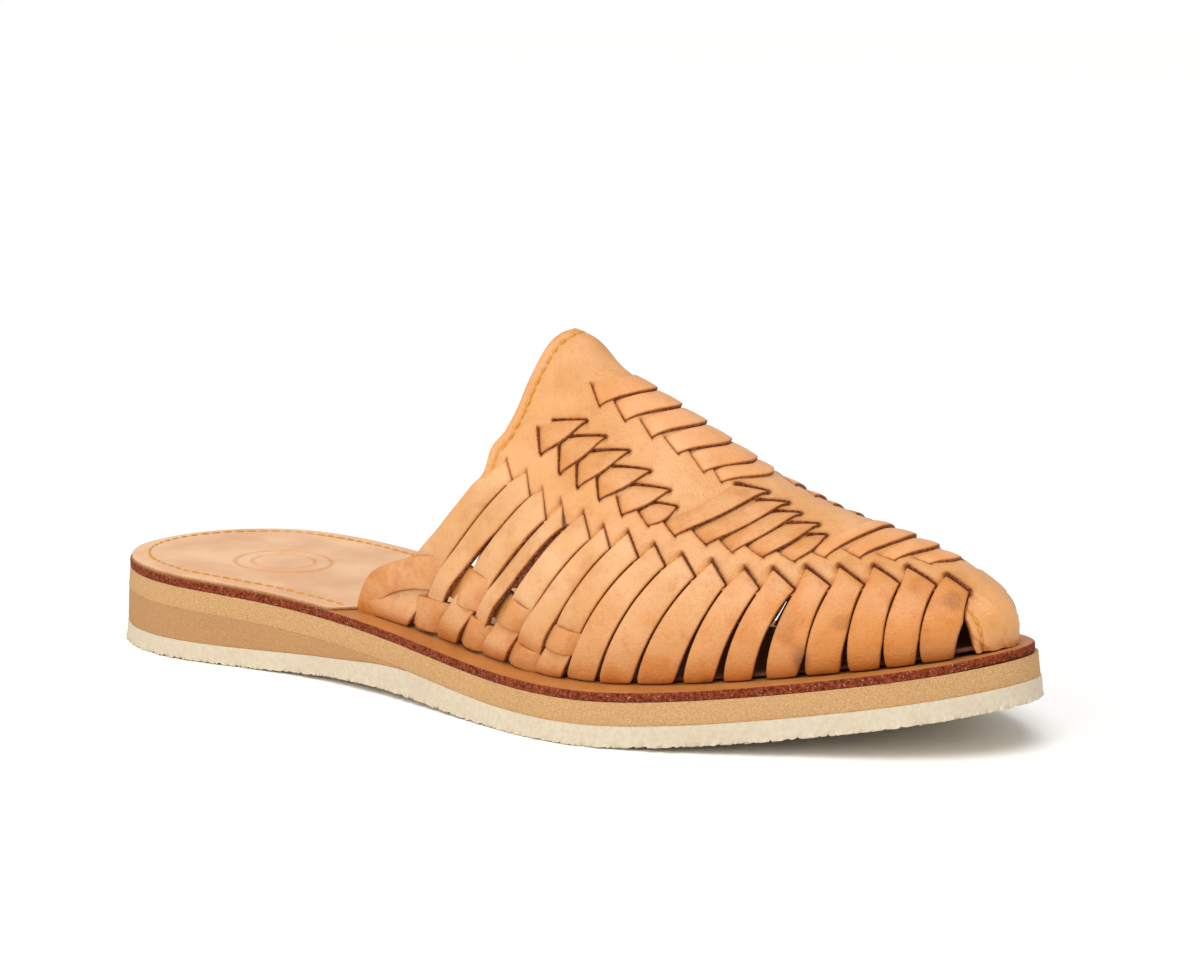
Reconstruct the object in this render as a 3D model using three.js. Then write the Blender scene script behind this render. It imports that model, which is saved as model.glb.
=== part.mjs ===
// Right-foot huarache mule: a woven leather upper on a leather runner, a foam midsole with a heel wedge,
// and a crepe rubber outsole. Millimetres, +X to the toe, +Y to the medial side, +Z up, sole on z = 0.
// Inside this file x runs along the last, from 0 just behind the heel to the tip of the toe, and y from
// the heel's centre line; the group at the end moves the shoe so that its box is centred over the origin.

import * as THREE from 'three';
import { mergeVertices } from 'three/addons/utils/BufferGeometryUtils.js';

// ---- driving dimensions ----
const heelBack = 1.5;
const toeTip = 270;
const fitGap = 0.3;
const outsoleThickness = 5.2;
const outsoleFlare = 1.35;
const midsoleThickness = 5.6;
const midsoleFlare = 0.5;
const runnerThickness = 2.3;
const insoleThickness = 0.95;
const insoleInset = 0.5;
const wallThickness = 2.6;
const strapCrown = 0.5;
const tabColumns = 5;
const toeSpring = 12.2;
const springStart = 178;
const waistLift = 1.5;
const waistFrom = 54;
const waistTo = 156;
const wedgeEnd = 122;
const wedgeRunOut = 1.5;
const soleStations = 60;

// Half-widths of the sole either side of the heel's centre line.
const outlineTable = [
  { x: heelBack, lateral: 0, medial: 0 },
  { x: 4.5, lateral: 13.2, medial: 13.2 },
  { x: 10, lateral: 21.6, medial: 21.6 },
  { x: 22, lateral: 30.8, medial: 30.8 },
  { x: 40, lateral: 35.2, medial: 35.2 },
  { x: 65, lateral: 33.4, medial: 33.9 },
  { x: 95, lateral: 34.3, medial: 30.9 },
  { x: 122, lateral: 40.3, medial: 31.4 },
  { x: 150, lateral: 48.2, medial: 36.0 },
  { x: 176, lateral: 51.9, medial: 42.2 },
  { x: 203, lateral: 44.0, medial: 44.6 },
  { x: 229, lateral: 31.5, medial: 40.2 },
  { x: 250, lateral: 21.2, medial: 29.9 },
  { x: 263, lateral: 11.0, medial: 17.8 },
  { x: toeTip, lateral: -3.0, medial: 3.0 },
];

// Height of the runner's top over the floor, before toe spring.
const sideTable = [
  { x: heelBack, runnerTop: 21.8 },
  { x: 35, runnerTop: 21.7 },
  { x: 63, runnerTop: 20.3 },
  { x: 90, runnerTop: 18.2 },
  { x: 120, runnerTop: 15.7 },
  { x: 150, runnerTop: 13.5 },
  { x: 178, runnerTop: 13.1 },
  { x: toeTip, runnerTop: 13.1 },
];

// The last, station by station: how far the upper's foot stands in from the sole edge, the ridge's height
// and side shift, how far the wall leans out at the foot and how full each side of the section is.
const lastTable = [
  { x: 88, shelf: 6.4, ridgeZ: 119, ridgeY: -1.0, lean: 8, ridgeSlope: 6, sideFull: 0.42, topFull: 0.26 },
  { x: 130, shelf: 7.6, ridgeZ: 97.3, ridgeY: -3.5, lean: 11, ridgeSlope: 6, sideFull: 0.42, topFull: 0.28 },
  { x: 144, shelf: 7.9, ridgeZ: 90.4, ridgeY: -4.2, lean: 12, ridgeSlope: 6, sideFull: 0.42, topFull: 0.28 },
  { x: 165, shelf: 8.2, ridgeZ: 80.1, ridgeY: -5.0, lean: 16, ridgeSlope: 6, sideFull: 0.45, topFull: 0.32 },
  { x: 185, shelf: 8.5, ridgeZ: 69.9, ridgeY: -3.9, lean: 19, ridgeSlope: 6, sideFull: 0.48, topFull: 0.35 },
  { x: 205, shelf: 8.3, ridgeZ: 58.7, ridgeY: -1.1, lean: 21, ridgeSlope: 6, sideFull: 0.50, topFull: 0.40 },
  { x: 225, shelf: 7.5, ridgeZ: 51.3, ridgeY: 2.1, lean: 22, ridgeSlope: 5, sideFull: 0.52, topFull: 0.45 },
  { x: 245, shelf: 6.3, ridgeZ: 45.6, ridgeY: 4.3, lean: 22, ridgeSlope: 5, sideFull: 0.54, topFull: 0.48 },
  { x: 257, shelf: 5.3, ridgeZ: 41.2, ridgeY: 4.6, lean: 21, ridgeSlope: 5, sideFull: 0.55, topFull: 0.50 },
  { x: 265, shelf: 4.2, ridgeZ: 36.6, ridgeY: 4.2, lean: 20, ridgeSlope: 5, sideFull: 0.55, topFull: 0.50 },
  { x: toeTip, shelf: 3.8, ridgeZ: 27.0, ridgeY: 3.0, lean: 20, ridgeSlope: 5, sideFull: 0.55, topFull: 0.50 },
];

// The collar's edge from the foot of the wall (climb 0) to the ridge (climb 1): up the rear strap,
// then across the tongue.
const collarTable = [
  { climb: 0, x: 93.5 },
  { climb: 0.05, x: 94.6 },
  { climb: 0.12, x: 100 },
  { climb: 0.19, x: 112 },
  { climb: 0.29, x: 121 },
  { climb: 0.39, x: 127.5 },
  { climb: 0.5, x: 133.3 },
  { climb: 0.57, x: 134.4 },
  { climb: 0.63, x: 136.6 },
  { climb: 0.69, x: 137.4 },
  { climb: 0.85, x: 139.0 },
  { climb: 0.95, x: 140.2 },
  { climb: 1, x: 141.8 },
];

// The gaps between neighbouring straps: where each starts at the foot, its width there, and how far up
// the wall it runs before the straps go under the vamp.
const gapTable = [
  { foot: 112, width: 0.8, top: 0.47 },
  { foot: 121, width: 3.0, top: 0.45 },
  { foot: 129, width: 0.8, top: 0.44 },
  { foot: 137.5, width: 0.9, top: 0.435 },
  { foot: 147.5, width: 0.8, top: 0.43 },
  { foot: 158, width: 0.9, top: 0.43 },
  { foot: 168.5, width: 1.6, top: 0.43 },
  { foot: 180, width: 1.4, top: 0.43 },
  { foot: 191, width: 1.8, top: 0.43 },
  { foot: 201, width: 1.6, top: 0.43 },
  { foot: 211, width: 1.8, top: 0.435 },
  { foot: 219.5, width: 4.6, top: 0.445 },
  { foot: 228.2, width: 1.4, top: 0.485 },
  { foot: 237, width: 1.2, top: 0.525 },
  { foot: 245.5, width: 1.0, top: 0.58 },
  { foot: 253.3, width: 0.8, top: 0.655 },
  { foot: 262, width: 3.0, top: 0.5 },
];
const firstGapTurn = 143;
const turnPitch = 7.3;
const ridgeLead = 9;
const lacedGaps = 6;
const laceBand = 0.14;
const gapNeck = 0.4;
const vampGap = 1.2;

// ---- curves ----
// Along the shoe a station is the angle t whose cosine gives x, which keeps both round ends smooth.
const soleLength = toeTip - heelBack;
const stationAt = (x) => Math.acos(1 - 2 * THREE.MathUtils.clamp((x - heelBack) / soleLength, 0, 1));
const xAt = (station) => heelBack + (soleLength * (1 - Math.cos(station))) / 2;

// The natural cubic spline through given places and values, as a function.
function naturalSpline(places, values) {
  const count = places.length;
  const bend = new Array(count).fill(0);
  const carry = new Array(count).fill(0);
  for (let i = 1; i < count - 1; i += 1) {
    const before = places[i] - places[i - 1];
    const after = places[i + 1] - places[i];
    const pivot = 2 * (before + after) - before * carry[i - 1];
    const turn = (values[i + 1] - values[i]) / after - (values[i] - values[i - 1]) / before;
    carry[i] = after / pivot;
    bend[i] = (6 * turn - before * bend[i - 1]) / pivot;
  }
  for (let i = count - 2; i > 0; i -= 1) bend[i] -= carry[i] * bend[i + 1];
  return (place) => {
    let i = 1;
    while (i < count - 1 && place > places[i]) i += 1;
    const span = places[i] - places[i - 1];
    const b = (place - places[i - 1]) / span;
    const a = 1 - b;
    return a * values[i - 1] + b * values[i]
      + (((a ** 3 - a) * bend[i - 1] + (b ** 3 - b) * bend[i]) * span ** 2) / 6;
  };
}

// A smooth curve through one column of a table, against its column of places.
function curveThrough(table, key, column) {
  const places = table.map((row) => (key === 'x' ? stationAt(row.x) : row[key]));
  return naturalSpline(places, table.map((row) => row[column]));
}

const lateralWidth = curveThrough(outlineTable, 'x', 'lateral');
const medialWidth = curveThrough(outlineTable, 'x', 'medial');
const runnerTopCurve = curveThrough(sideTable, 'x', 'runnerTop');
const last = {};
for (const column of Object.keys(lastTable[0])) {
  if (column !== 'x') last[column] = curveThrough(lastTable, 'x', column);
}
const collarX = curveThrough(collarTable, 'climb', 'x');

// A point of the sole's edge at a station, moved in along the edge's normal. side is -1 lateral, +1 medial.
function edgePoint(station, side, inset) {
  const width = side < 0 ? lateralWidth : medialWidth;
  const step = 0.002;
  const before = Math.max(station - step, 0);
  const after = Math.min(station + step, Math.PI);
  const along = new THREE.Vector2(xAt(after) - xAt(before), side * (width(after) - width(before)));
  along.normalize();
  const atEnd = station < step || station > Math.PI - step;
  const outward = atEnd
    ? new THREE.Vector2(station < step ? -1 : 1, 0)
    : new THREE.Vector2(-along.y * side, along.x * side);
  return new THREE.Vector2(xAt(station), side * width(station)).addScaledVector(outward, -inset);
}

function springAt(x) {
  return toeSpring * Math.max(0, (x - springStart) / (toeTip - springStart)) ** 1.65;
}

function outsoleBottom(x) {
  const along = THREE.MathUtils.clamp((x - waistFrom) / (waistTo - waistFrom), 0, 1);
  return springAt(x) + waistLift * Math.sin(Math.PI * along) ** 2;
}

const runnerTop = (x) => runnerTopCurve(stationAt(x)) + springAt(x);
const midsoleTop = (x) => runnerTop(x) - runnerThickness;
const midsoleBottom = (x) => midsoleTop(x) - midsoleThickness;
// The crepe thickens to meet the midsole where the wedge runs out.
const outsoleTop = (x) => Math.min(
  outsoleBottom(x) + outsoleThickness + wedgeRunOut * THREE.MathUtils.smoothstep(x, 88, 120), midsoleBottom(x));

// ---- meshes ----
function meshFrom(name, points, triangles, colour, roughness) {
  const raw = new THREE.BufferGeometry();
  raw.setAttribute('position', new THREE.Float32BufferAttribute(points.flat(), 3));
  raw.setIndex(triangles.flat());
  const geometry = mergeVertices(raw, 1e-3);
  const index = [...geometry.index.array];
  const kept = [];
  for (let i = 0; i < index.length; i += 3) {
    const [a, b, c] = index.slice(i, i + 3);
    if (a !== b && b !== c && c !== a) kept.push(a, b, c);
  }
  geometry.setIndex(kept);
  geometry.computeVertexNormals();
  const material = new THREE.MeshStandardMaterial({ color: colour, roughness, metalness: 0 });
  const mesh = new THREE.Mesh(geometry, material);
  mesh.name = name;
  return mesh;
}

// A layer of the sole: a loft of four-cornered sections between its two edges.
// stations runs heel to toe; corner(station, side, top) gives each corner.
function layerMesh(name, stations, corner, colour, roughness) {
  const points = [];
  for (const station of stations) {
    points.push(corner(station, -1, false), corner(station, -1, true));
    points.push(corner(station, 1, true), corner(station, 1, false));
  }
  const triangles = [];
  for (let i = 0; i + 1 < stations.length; i += 1) {
    for (let k = 0; k < 4; k += 1) {
      const a = 4 * i + k;
      const b = 4 * i + ((k + 1) % 4);
      triangles.push([a, a + 4, b + 4], [a, b + 4, b]);
    }
  }
  const end = 4 * (stations.length - 1);
  triangles.push([0, 1, 2], [0, 2, 3]);
  triangles.push([end, end + 2, end + 1], [end, end + 3, end + 2]);
  return meshFrom(name, points, triangles, colour, roughness);
}

// Stations from one x to another, closer together round the two ends.
function stationsBetween(fromX, toX, count) {
  const from = stationAt(fromX);
  const to = stationAt(toX);
  return Array.from({ length: count + 1 }, (_, i) => from + ((to - from) * i) / count);
}

function soleLayer(name, toX, insets, bottom, top, colour, roughness) {
  const stations = stationsBetween(heelBack, toX, soleStations);
  const corner = (station, side, isTop) => {
    const point = edgePoint(station, side, isTop ? insets.top : insets.bottom);
    return [point.x, point.y, (isTop ? top : bottom)(xAt(station))];
  };
  return layerMesh(name, stations, corner, colour, roughness);
}

// ---- the upper's surface ----
// One side of the section is a cubic curve from the foot of the wall up to the ridge. depth moves it
// inwards: 0 is the outer face, wallThickness the inner one.
function sectionCurve(station, side, depth) {
  const feet = [-1, 1].map((s) => edgePoint(station, s, last.shelf(station) + depth));
  const footZ = feet.map((foot) => runnerTop(foot.x) + fitGap);
  const share = THREE.MathUtils.clamp(
    (last.ridgeY(station) - feet[0].y) / Math.max(feet[1].y - feet[0].y, 1e-6), 0.05, 0.95);
  const ridgeFlat = feet[0].clone().lerp(feet[1], share);
  const ridgeDrop = depth * 1.1;
  const ridgeZ = Math.max(last.ridgeZ(station) - ridgeDrop, Math.max(...footZ));
  const which = side < 0 ? 0 : 1;
  const foot = feet[which];
  const inward = ridgeFlat.clone().sub(foot);
  const reach = inward.length();
  inward.normalize();
  const rise = ridgeZ - footZ[which];
  const lean = Math.tan(THREE.MathUtils.degToRad(last.lean(station))) * last.sideFull(station) * rise;
  const fall = Math.tan(THREE.MathUtils.degToRad(last.ridgeSlope(station))) * last.topFull(station) * reach;
  const back = last.topFull(station) * reach;
  return new THREE.CubicBezierCurve3(
    new THREE.Vector3(foot.x, foot.y, footZ[which]),
    new THREE.Vector3(foot.x - inward.x * lean, foot.y - inward.y * lean,
      footZ[which] + last.sideFull(station) * rise),
    new THREE.Vector3(ridgeFlat.x - inward.x * back, ridgeFlat.y - inward.y * back,
      ridgeZ - Math.min(fall, rise * 0.3)),
    new THREE.Vector3(ridgeFlat.x, ridgeFlat.y, ridgeZ));
}

// A point of the upper at a distance x along the shoe, climb 0 at the foot to 1 at the ridge.
function skinPoint(x, side, climb, depth) {
  const curve = sectionCurve(stationAt(x), side, depth);
  if (climb <= 0) return curve.getPoint(0).toArray();
  if (climb >= 1 || curve.getLength() < 1e-3) return curve.getPoint(1).toArray();
  return curve.getPointAt(climb).toArray();
}

// The lines that run up the wall, from the collar round to the tip of the toe. Each line gives x against
// climb; strap edges are straight from the foot to the turn under the vamp, then lead on to the ridge.
function gapLine(gapIndex, offset) {
  const gap = gapTable[gapIndex];
  const turn = firstGapTurn + turnPitch * gapIndex;
  const lead = ridgeLead * (1 - (gapIndex / (gapTable.length - 1)) ** 2) + 1;
  return (climb) => {
    const along = climb / gap.top;
    if (along < 1) {
      const half = gapNeck + (gap.width / 2 - gapNeck) * (1 - along);
      return gap.foot + (turn - gap.foot) * along + offset * half;
    }
    const over = (climb - gap.top) / (1 - gap.top);
    return turn + lead * over + offset * (gapNeck + (vampGap - gapNeck) * over);
  };
}

const meanLine = (first, second, share) => (climb) => first(climb) * (1 - share) + second(climb) * share;

// Every column line with the strap it belongs to and its place across the strap.
const lines = [{ at: collarX, middle: false, slotAfter: null }];
for (let g = 0; g < gapTable.length; g += 1) {
  const strapEnd = gapLine(g, -1);
  const previous = g === 0 ? collarX : gapLine(g - 1, 1);
  lines.push({ at: meanLine(previous, strapEnd, 0.5), middle: true, strap: g, slotAfter: null });
  lines.push({ at: strapEnd, middle: false, slotAfter: g });
  lines.push({ at: gapLine(g, 1), middle: false, slotAfter: null });
}
const tip = () => toeTip;
const tabStart = gapLine(gapTable.length - 1, 1);
for (let k = 1; k <= tabColumns; k += 1) {
  const share = Math.sin((Math.PI / 2) * (k / tabColumns));
  lines.push({ at: k === tabColumns ? tip : meanLine(tabStart, tip, share), middle: false, slotAfter: null });
}

// Rows of the wall: shares of the strap's height below the vamp, then of the vamp up to the ridge.
const strapRows = [0, 0.1, 0.2, 0.32, 0.45, 0.6, 0.8, 1];
const vampRows = [0.2, 0.4, 0.6, 0.78, 0.9, 1];

function rowClimbs(lineIndex) {
  const gapIndex = THREE.MathUtils.clamp(Math.floor((lineIndex - 1) / 3), 0, gapTable.length - 1);
  const top = gapTable[gapIndex].top;
  return [...strapRows.map((s) => s * top), ...vampRows.map((s) => top + (1 - top) * s)];
}

// Straps are crowned, and the two edge laces rise over every other rear strap.
function faceDepth(line, climb, top) {
  if (climb > top) return 0;
  if (!line.middle) return strapCrown * (climb === 0 ? 0.5 : 1);
  const laced = line.strap <= lacedGaps && climb < laceBand;
  const laceRow = climb < laceBand / 2 ? 1 : 0;
  return laced && (line.strap + laceRow) % 2 === 0 ? -strapCrown : 0;
}

function upperMesh() {
  const rowCount = strapRows.length + vampRows.length;
  const across = 2 * rowCount - 1;
  const outer = [];
  const inner = [];
  lines.forEach((line, i) => {
    const climbs = rowClimbs(i);
    for (let j = 0; j < across; j += 1) {
      const side = j < rowCount ? -1 : 1;
      const row = j < rowCount ? j : across - 1 - j;
      const climb = climbs[row];
      const x = line.at(climb);
      const depth = faceDepth(line, climb, climbs[strapRows.length - 1]);
      outer.push(skinPoint(x, side, climb, depth));
      inner.push(skinPoint(x, side, climb, wallThickness));
    }
  });
  const node = (i, j) => i * across + j;
  const isOpen = (i, j) => {
    if (i < 0 || j < 0 || i >= lines.length - 1 || j >= across - 1) return true;
    const gap = lines[i].slotAfter;
    if (gap === null) return false;
    const row = j < rowCount - 1 ? j : across - 2 - j;
    const firstOpen = gap <= lacedGaps ? 3 : 0;
    return row >= firstOpen && row < strapRows.length - 1;
  };
  const shift = outer.length;
  const triangles = [];
  const quad = (a, b, c, d) => triangles.push([a, b, c], [a, c, d]);
  for (let i = 0; i < lines.length - 1; i += 1) {
    for (let j = 0; j < across - 1; j += 1) {
      if (isOpen(i, j)) continue;
      const [a, b, c, d] = [node(i, j), node(i + 1, j), node(i + 1, j + 1), node(i, j + 1)];
      quad(a, b, c, d);
      quad(a + shift, d + shift, c + shift, b + shift);
      if (isOpen(i, j - 1)) quad(a, a + shift, b + shift, b);
      if (isOpen(i + 1, j)) quad(b, b + shift, c + shift, c);
      if (isOpen(i, j + 1)) quad(c, c + shift, d + shift, d);
      if (isOpen(i - 1, j)) quad(d, d + shift, a + shift, a);
    }
  }
  return meshFrom('upper', [...outer, ...inner], triangles, 0xd9924f, 0.55);
}

// ---- the insole ----
// Full width at the heel, then drawn in at the collar so that it lies inside the foot of the wall.
function insoleEdge(station) {
  const x = xAt(station);
  const inside = last.shelf(Math.max(station, stationAt(88))) + wallThickness + fitGap + 0.3;
  const blend = THREE.MathUtils.smoothstep(x, 84, 92);
  return insoleInset + (inside - insoleInset) * blend;
}

function insoleMesh() {
  const stations = stationsBetween(heelBack, toeTip, soleStations);
  const corner = (station, side, isTop) => {
    const point = edgePoint(station, side, insoleEdge(station));
    const under = runnerTop(point.x) + fitGap;
    return [point.x, point.y, isTop ? under + insoleThickness : under];
  };
  return layerMesh('insole', stations, corner, 0xe2b48c, 0.6);
}

// ---- the shoe ----
const half = fitGap / 2;
const shoe = new THREE.Group();
const centreY = (medialMost() - lateralMost()) / 2;
shoe.position.set(-(heelBack + toeTip) / 2, -centreY, 0);

function lateralMost() {
  return Math.max(...stationsBetween(heelBack, toeTip, soleStations).map(lateralWidth)) + outsoleFlare;
}

function medialMost() {
  return Math.max(...stationsBetween(heelBack, toeTip, soleStations).map(medialWidth)) + outsoleFlare;
}

shoe.add(
  soleLayer('outsole', toeTip, { top: -outsoleFlare * 0.6, bottom: -outsoleFlare },
    outsoleBottom, (x) => outsoleTop(x) - half, 0xefe6c8, 0.85),
  soleLayer('heel_wedge', wedgeEnd - 6, { top: -midsoleFlare, bottom: -outsoleFlare * 0.6 },
    (x) => outsoleTop(x) + half, (x) => midsoleBottom(x) - half, 0xdca873, 0.9),
  soleLayer('midsole', toeTip, { top: 0, bottom: -midsoleFlare },
    (x) => midsoleBottom(x) + half, (x) => midsoleTop(x) - half, 0xcf9a5c, 0.9),
  soleLayer('runner', toeTip, { top: 0, bottom: 0 },
    (x) => midsoleTop(x) + half, runnerTop, 0x8a4326, 0.8),
  insoleMesh(),
  upperMesh(),
);

export default shoe;
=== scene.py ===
import math

import bpy
import numpy as np
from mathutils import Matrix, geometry


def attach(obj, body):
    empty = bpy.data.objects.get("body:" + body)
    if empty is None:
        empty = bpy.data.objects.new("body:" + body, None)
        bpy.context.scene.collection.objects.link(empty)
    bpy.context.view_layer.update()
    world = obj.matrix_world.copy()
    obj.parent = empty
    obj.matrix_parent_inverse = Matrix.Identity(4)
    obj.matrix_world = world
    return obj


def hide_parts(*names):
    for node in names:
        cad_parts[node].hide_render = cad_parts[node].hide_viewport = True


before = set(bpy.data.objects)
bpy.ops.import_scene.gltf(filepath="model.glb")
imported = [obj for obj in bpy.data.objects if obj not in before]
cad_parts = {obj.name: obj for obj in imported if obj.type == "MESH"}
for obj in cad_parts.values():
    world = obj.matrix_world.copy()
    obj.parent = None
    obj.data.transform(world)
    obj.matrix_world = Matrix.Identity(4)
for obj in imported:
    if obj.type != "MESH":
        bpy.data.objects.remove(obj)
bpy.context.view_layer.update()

# ---- Camera, light and floor ----
# The shoe stands on a plain white floor under a soft light from high in front and white surroundings. The camera
# looks at its outer side from in front, a little above the floor, through a long lens.
turn, tilt = math.radians(34.19), math.radians(9.63)
camera = bpy.data.objects.new("camera", bpy.data.cameras.new("camera"))
camera.data.lens = 94.1
camera.data.sensor_width = 36
camera.location = (0.4523, -0.6408, 0.1857)
camera.rotation_euler = (math.radians(90) - tilt, 0, turn)
bpy.context.scene.collection.objects.link(camera)
bpy.context.scene.camera = camera
bpy.context.scene.view_settings.view_transform = "Standard"


def colour(code):
    """The linear colour of an sRGB hex code."""
    parts = [int(code[k : k + 2], 16) / 255 for k in (1, 3, 5)]
    return [p / 12.92 if p <= 0.04045 else ((p + 0.055) / 1.055) ** 2.4 for p in parts] + [1.0]


def add(tree, kind, inputs=None, **settings):
    """Adds a node of a kind, with its settings, its input values and its links. An input given as a node is linked
    to the first output that this node has in use."""
    made = tree.nodes.new(kind)
    for name, value in settings.items():
        setattr(made, name, value)
    for name, value in (inputs or {}).items():
        if isinstance(value, bpy.types.Node):
            value = next(output for output in value.outputs if output.enabled)
        if isinstance(value, bpy.types.NodeSocket):
            tree.links.new(value, made.inputs[name])
        else:
            made.inputs[name].default_value = value
    return made


def softbox(name, place, aim, size, power, tint):
    """A square area light at place, turned to face aim."""
    light = bpy.data.lights.new(name, "AREA")
    light.shape, light.size, light.energy = "SQUARE", size, power
    light.color = colour(tint)[:3]
    lamp = bpy.data.objects.new(name, light)
    back = np.array(place, float) - np.array(aim, float)
    flat = math.hypot(back[0], back[1])
    lamp.location = place
    lamp.rotation_euler = (math.atan2(flat, back[2]), 0, math.atan2(back[1], back[0]) + math.pi / 2)
    bpy.context.scene.collection.objects.link(lamp)


sun = bpy.data.lights.new("high_soft_light", "SUN")
sun.energy, sun.angle = 1.65, math.radians(40)
lamp = bpy.data.objects.new("high_soft_light", sun)
lamp.rotation_euler = (math.radians(22), 0, math.radians(28))
bpy.context.scene.collection.objects.link(lamp)
softbox("front_softbox", (-0.15, -1.4, 0.8), (0.02, 0, 0.04), 0.9, 8.2, "#fffaf2")

world = bpy.data.worlds.new("surroundings")
bpy.context.scene.world = world
world.use_nodes = True
sky = world.node_tree
sky.nodes.clear()
seen = add(sky, "ShaderNodeBackground", {"Color": colour("#ffffff"), "Strength": 1.0})
lit = add(sky, "ShaderNodeBackground", {"Color": colour("#ffffff"), "Strength": 0.6})
path = add(sky, "ShaderNodeLightPath")
both = add(sky, "ShaderNodeMixShader", {0: path.outputs["Is Camera Ray"], 1: lit, 2: seen})
add(sky, "ShaderNodeOutputWorld", {"Surface": both})

span = np.linspace(-6, 6, 7)
floor_x, floor_y = np.meshgrid(span, span, indexing="ij")
floor_points = np.stack([floor_x, floor_y, 0 * floor_x], -1).reshape(-1, 3)


def grid_triangles(rows, columns, wrap=False):
    """Triangles over a grid of rows by columns points; wrap joins the last column to the first."""
    i, j = np.meshgrid(np.arange(rows - 1), np.arange(columns if wrap else columns - 1), indexing="ij")
    a, b = i * columns + j, i * columns + (j + 1) % columns
    return np.concatenate([np.stack([a, b, b + columns], -1).reshape(-1, 3),
                           np.stack([a, b + columns, a + columns], -1).reshape(-1, 3)])


def mesh_object(name, points, triangles, material, smooth_angle=None, **attributes):
    """A mesh in metres from whole arrays, with one float per point for each attribute."""
    mesh = bpy.data.meshes.new(name)
    mesh.vertices.add(len(points))
    mesh.vertices.foreach_set("co", np.asarray(points, np.float32).ravel())
    mesh.loops.add(3 * len(triangles))
    mesh.loops.foreach_set("vertex_index", np.asarray(triangles, np.int32).ravel())
    mesh.polygons.add(len(triangles))
    mesh.polygons.foreach_set("loop_start", np.arange(0, 3 * len(triangles), 3, dtype=np.int32))
    mesh.polygons.foreach_set("use_smooth", np.ones(len(triangles), bool))
    mesh.update(calc_edges=True)
    for key, values in attributes.items():
        mesh.attributes.new(key, "FLOAT", "POINT").data.foreach_set("value", np.asarray(values, np.float32))
    if smooth_angle:
        mesh.set_sharp_from_angle(angle=math.radians(smooth_angle))
    mesh.validate()
    mesh.materials.append(material)
    made = bpy.data.objects.new(name, mesh)
    bpy.context.scene.collection.objects.link(made)
    return made


def new_material(name):
    """An empty material and its node tree."""
    made = bpy.data.materials.new(name)
    made.use_nodes = True
    made.node_tree.nodes.clear()
    return made, made.node_tree


paper, tree = new_material("white_paper")
dust = add(tree, "ShaderNodeTexNoise", {"Scale": 3.0})
tone = add(tree, "ShaderNodeMix", {0: dust, 6: colour("#f7f6f4"), 7: colour("#fbfbfa")}, data_type="RGBA")
surface = add(tree, "ShaderNodeBsdfPrincipled", {"Base Color": tone, "Roughness": 0.9, "Specular IOR Level": 0.1})
add(tree, "ShaderNodeOutputMaterial", {"Surface": surface})
floor = mesh_object("floor", floor_points, grid_triangles(7, 7), paper)

# ---- Crepe outsole ----
# A sheet of cream crepe rubber, cemented under the foam and trimmed round with a knife.
# The trimmed lower edge is left ragged. Lengths are millimetres along the last from behind the heel.
HEEL_BACK, TOE_TIP = 1.5, 270.0
LENGTH = TOE_TIP - HEEL_BACK
FRAME_SHIFT = np.array([135.75, -3.654, 0.0])  # the last's place in the row frame
FIT_GAP = 0.02  # left free between two layers
RUNNER_THICK, MIDSOLE_THICK, OUTSOLE_THICK = 2.3, 5.6, 5.2
TOE_SPRING, SPRING_FROM = 12.2, 178  # lift of the tip, and x where it starts
WEDGE_END = 119


def run_along(path):
    """Distance along a path to each of its points."""
    return np.concatenate([[0], np.cumsum(np.linalg.norm(np.diff(path, axis=0), axis=1))])


def natural_spline(places, values):
    """The natural cubic spline through places and values: its second derivatives solve a tridiagonal
    system, and between two places it is the cubic that has those at both ends."""
    places, values = np.asarray(places, float), np.asarray(values, float)
    step, count = np.diff(places), len(places)
    system, load = np.eye(count), np.zeros(count)
    inner = np.arange(1, count - 1)
    system[inner, inner - 1], system[inner, inner + 1] = step[inner - 1], step[inner]
    system[inner, inner] = 2 * (step[inner - 1] + step[inner])
    slopes = np.diff(values) / step
    load[inner] = 6 * (slopes[inner] - slopes[inner - 1])
    bend = np.linalg.solve(system, load)

    def at(place):
        """The cubic between the two nearest places."""
        k = np.clip(np.searchsorted(places, place) - 1, 0, count - 2)
        b = (place - places[k]) / step[k]
        a = 1 - b
        return (a * values[k] + b * values[k + 1]
                + ((a**3 - a) * bend[k] + (b**3 - b) * bend[k + 1]) * step[k] ** 2 / 6)

    return at


def station_at(x):
    """The angle t with x = heel + length (1 - cos t) / 2, which keeps both round ends smooth."""
    return np.arccos(1 - 2 * np.clip((np.asarray(x, float) - HEEL_BACK) / LENGTH, 0, 1))


def x_at(station):
    """The x of an angle: heel + length (1 - cos t) / 2."""
    return HEEL_BACK + LENGTH * (1 - np.cos(station)) / 2


outline = np.array([  # x, half width to the outer side, half width to the inner side
    (1.5, 0, 0), (4.5, 13.2, 13.2), (10, 21.6, 21.6), (22, 30.8, 30.8), (40, 35.2, 35.2), (65, 33.4, 33.9),
    (95, 34.3, 30.9), (122, 40.3, 31.4), (150, 48.2, 36.0), (176, 51.9, 42.2), (203, 44.0, 44.6),
    (229, 31.5, 40.2), (250, 21.2, 29.9), (263, 11.0, 17.8), (270, -3.0, 3.0)])
outer_width = natural_spline(station_at(outline[:, 0]), outline[:, 1])
inner_width = natural_spline(station_at(outline[:, 0]), outline[:, 2])
side_heights = np.array([  # x, height of the runner's top before toe spring
    (1.5, 21.8), (35, 21.7), (63, 20.3), (90, 18.2), (120, 15.7), (150, 13.5), (178, 13.1), (270, 13.1)])
runner_rise = natural_spline(station_at(side_heights[:, 0]), side_heights[:, 1])


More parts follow.
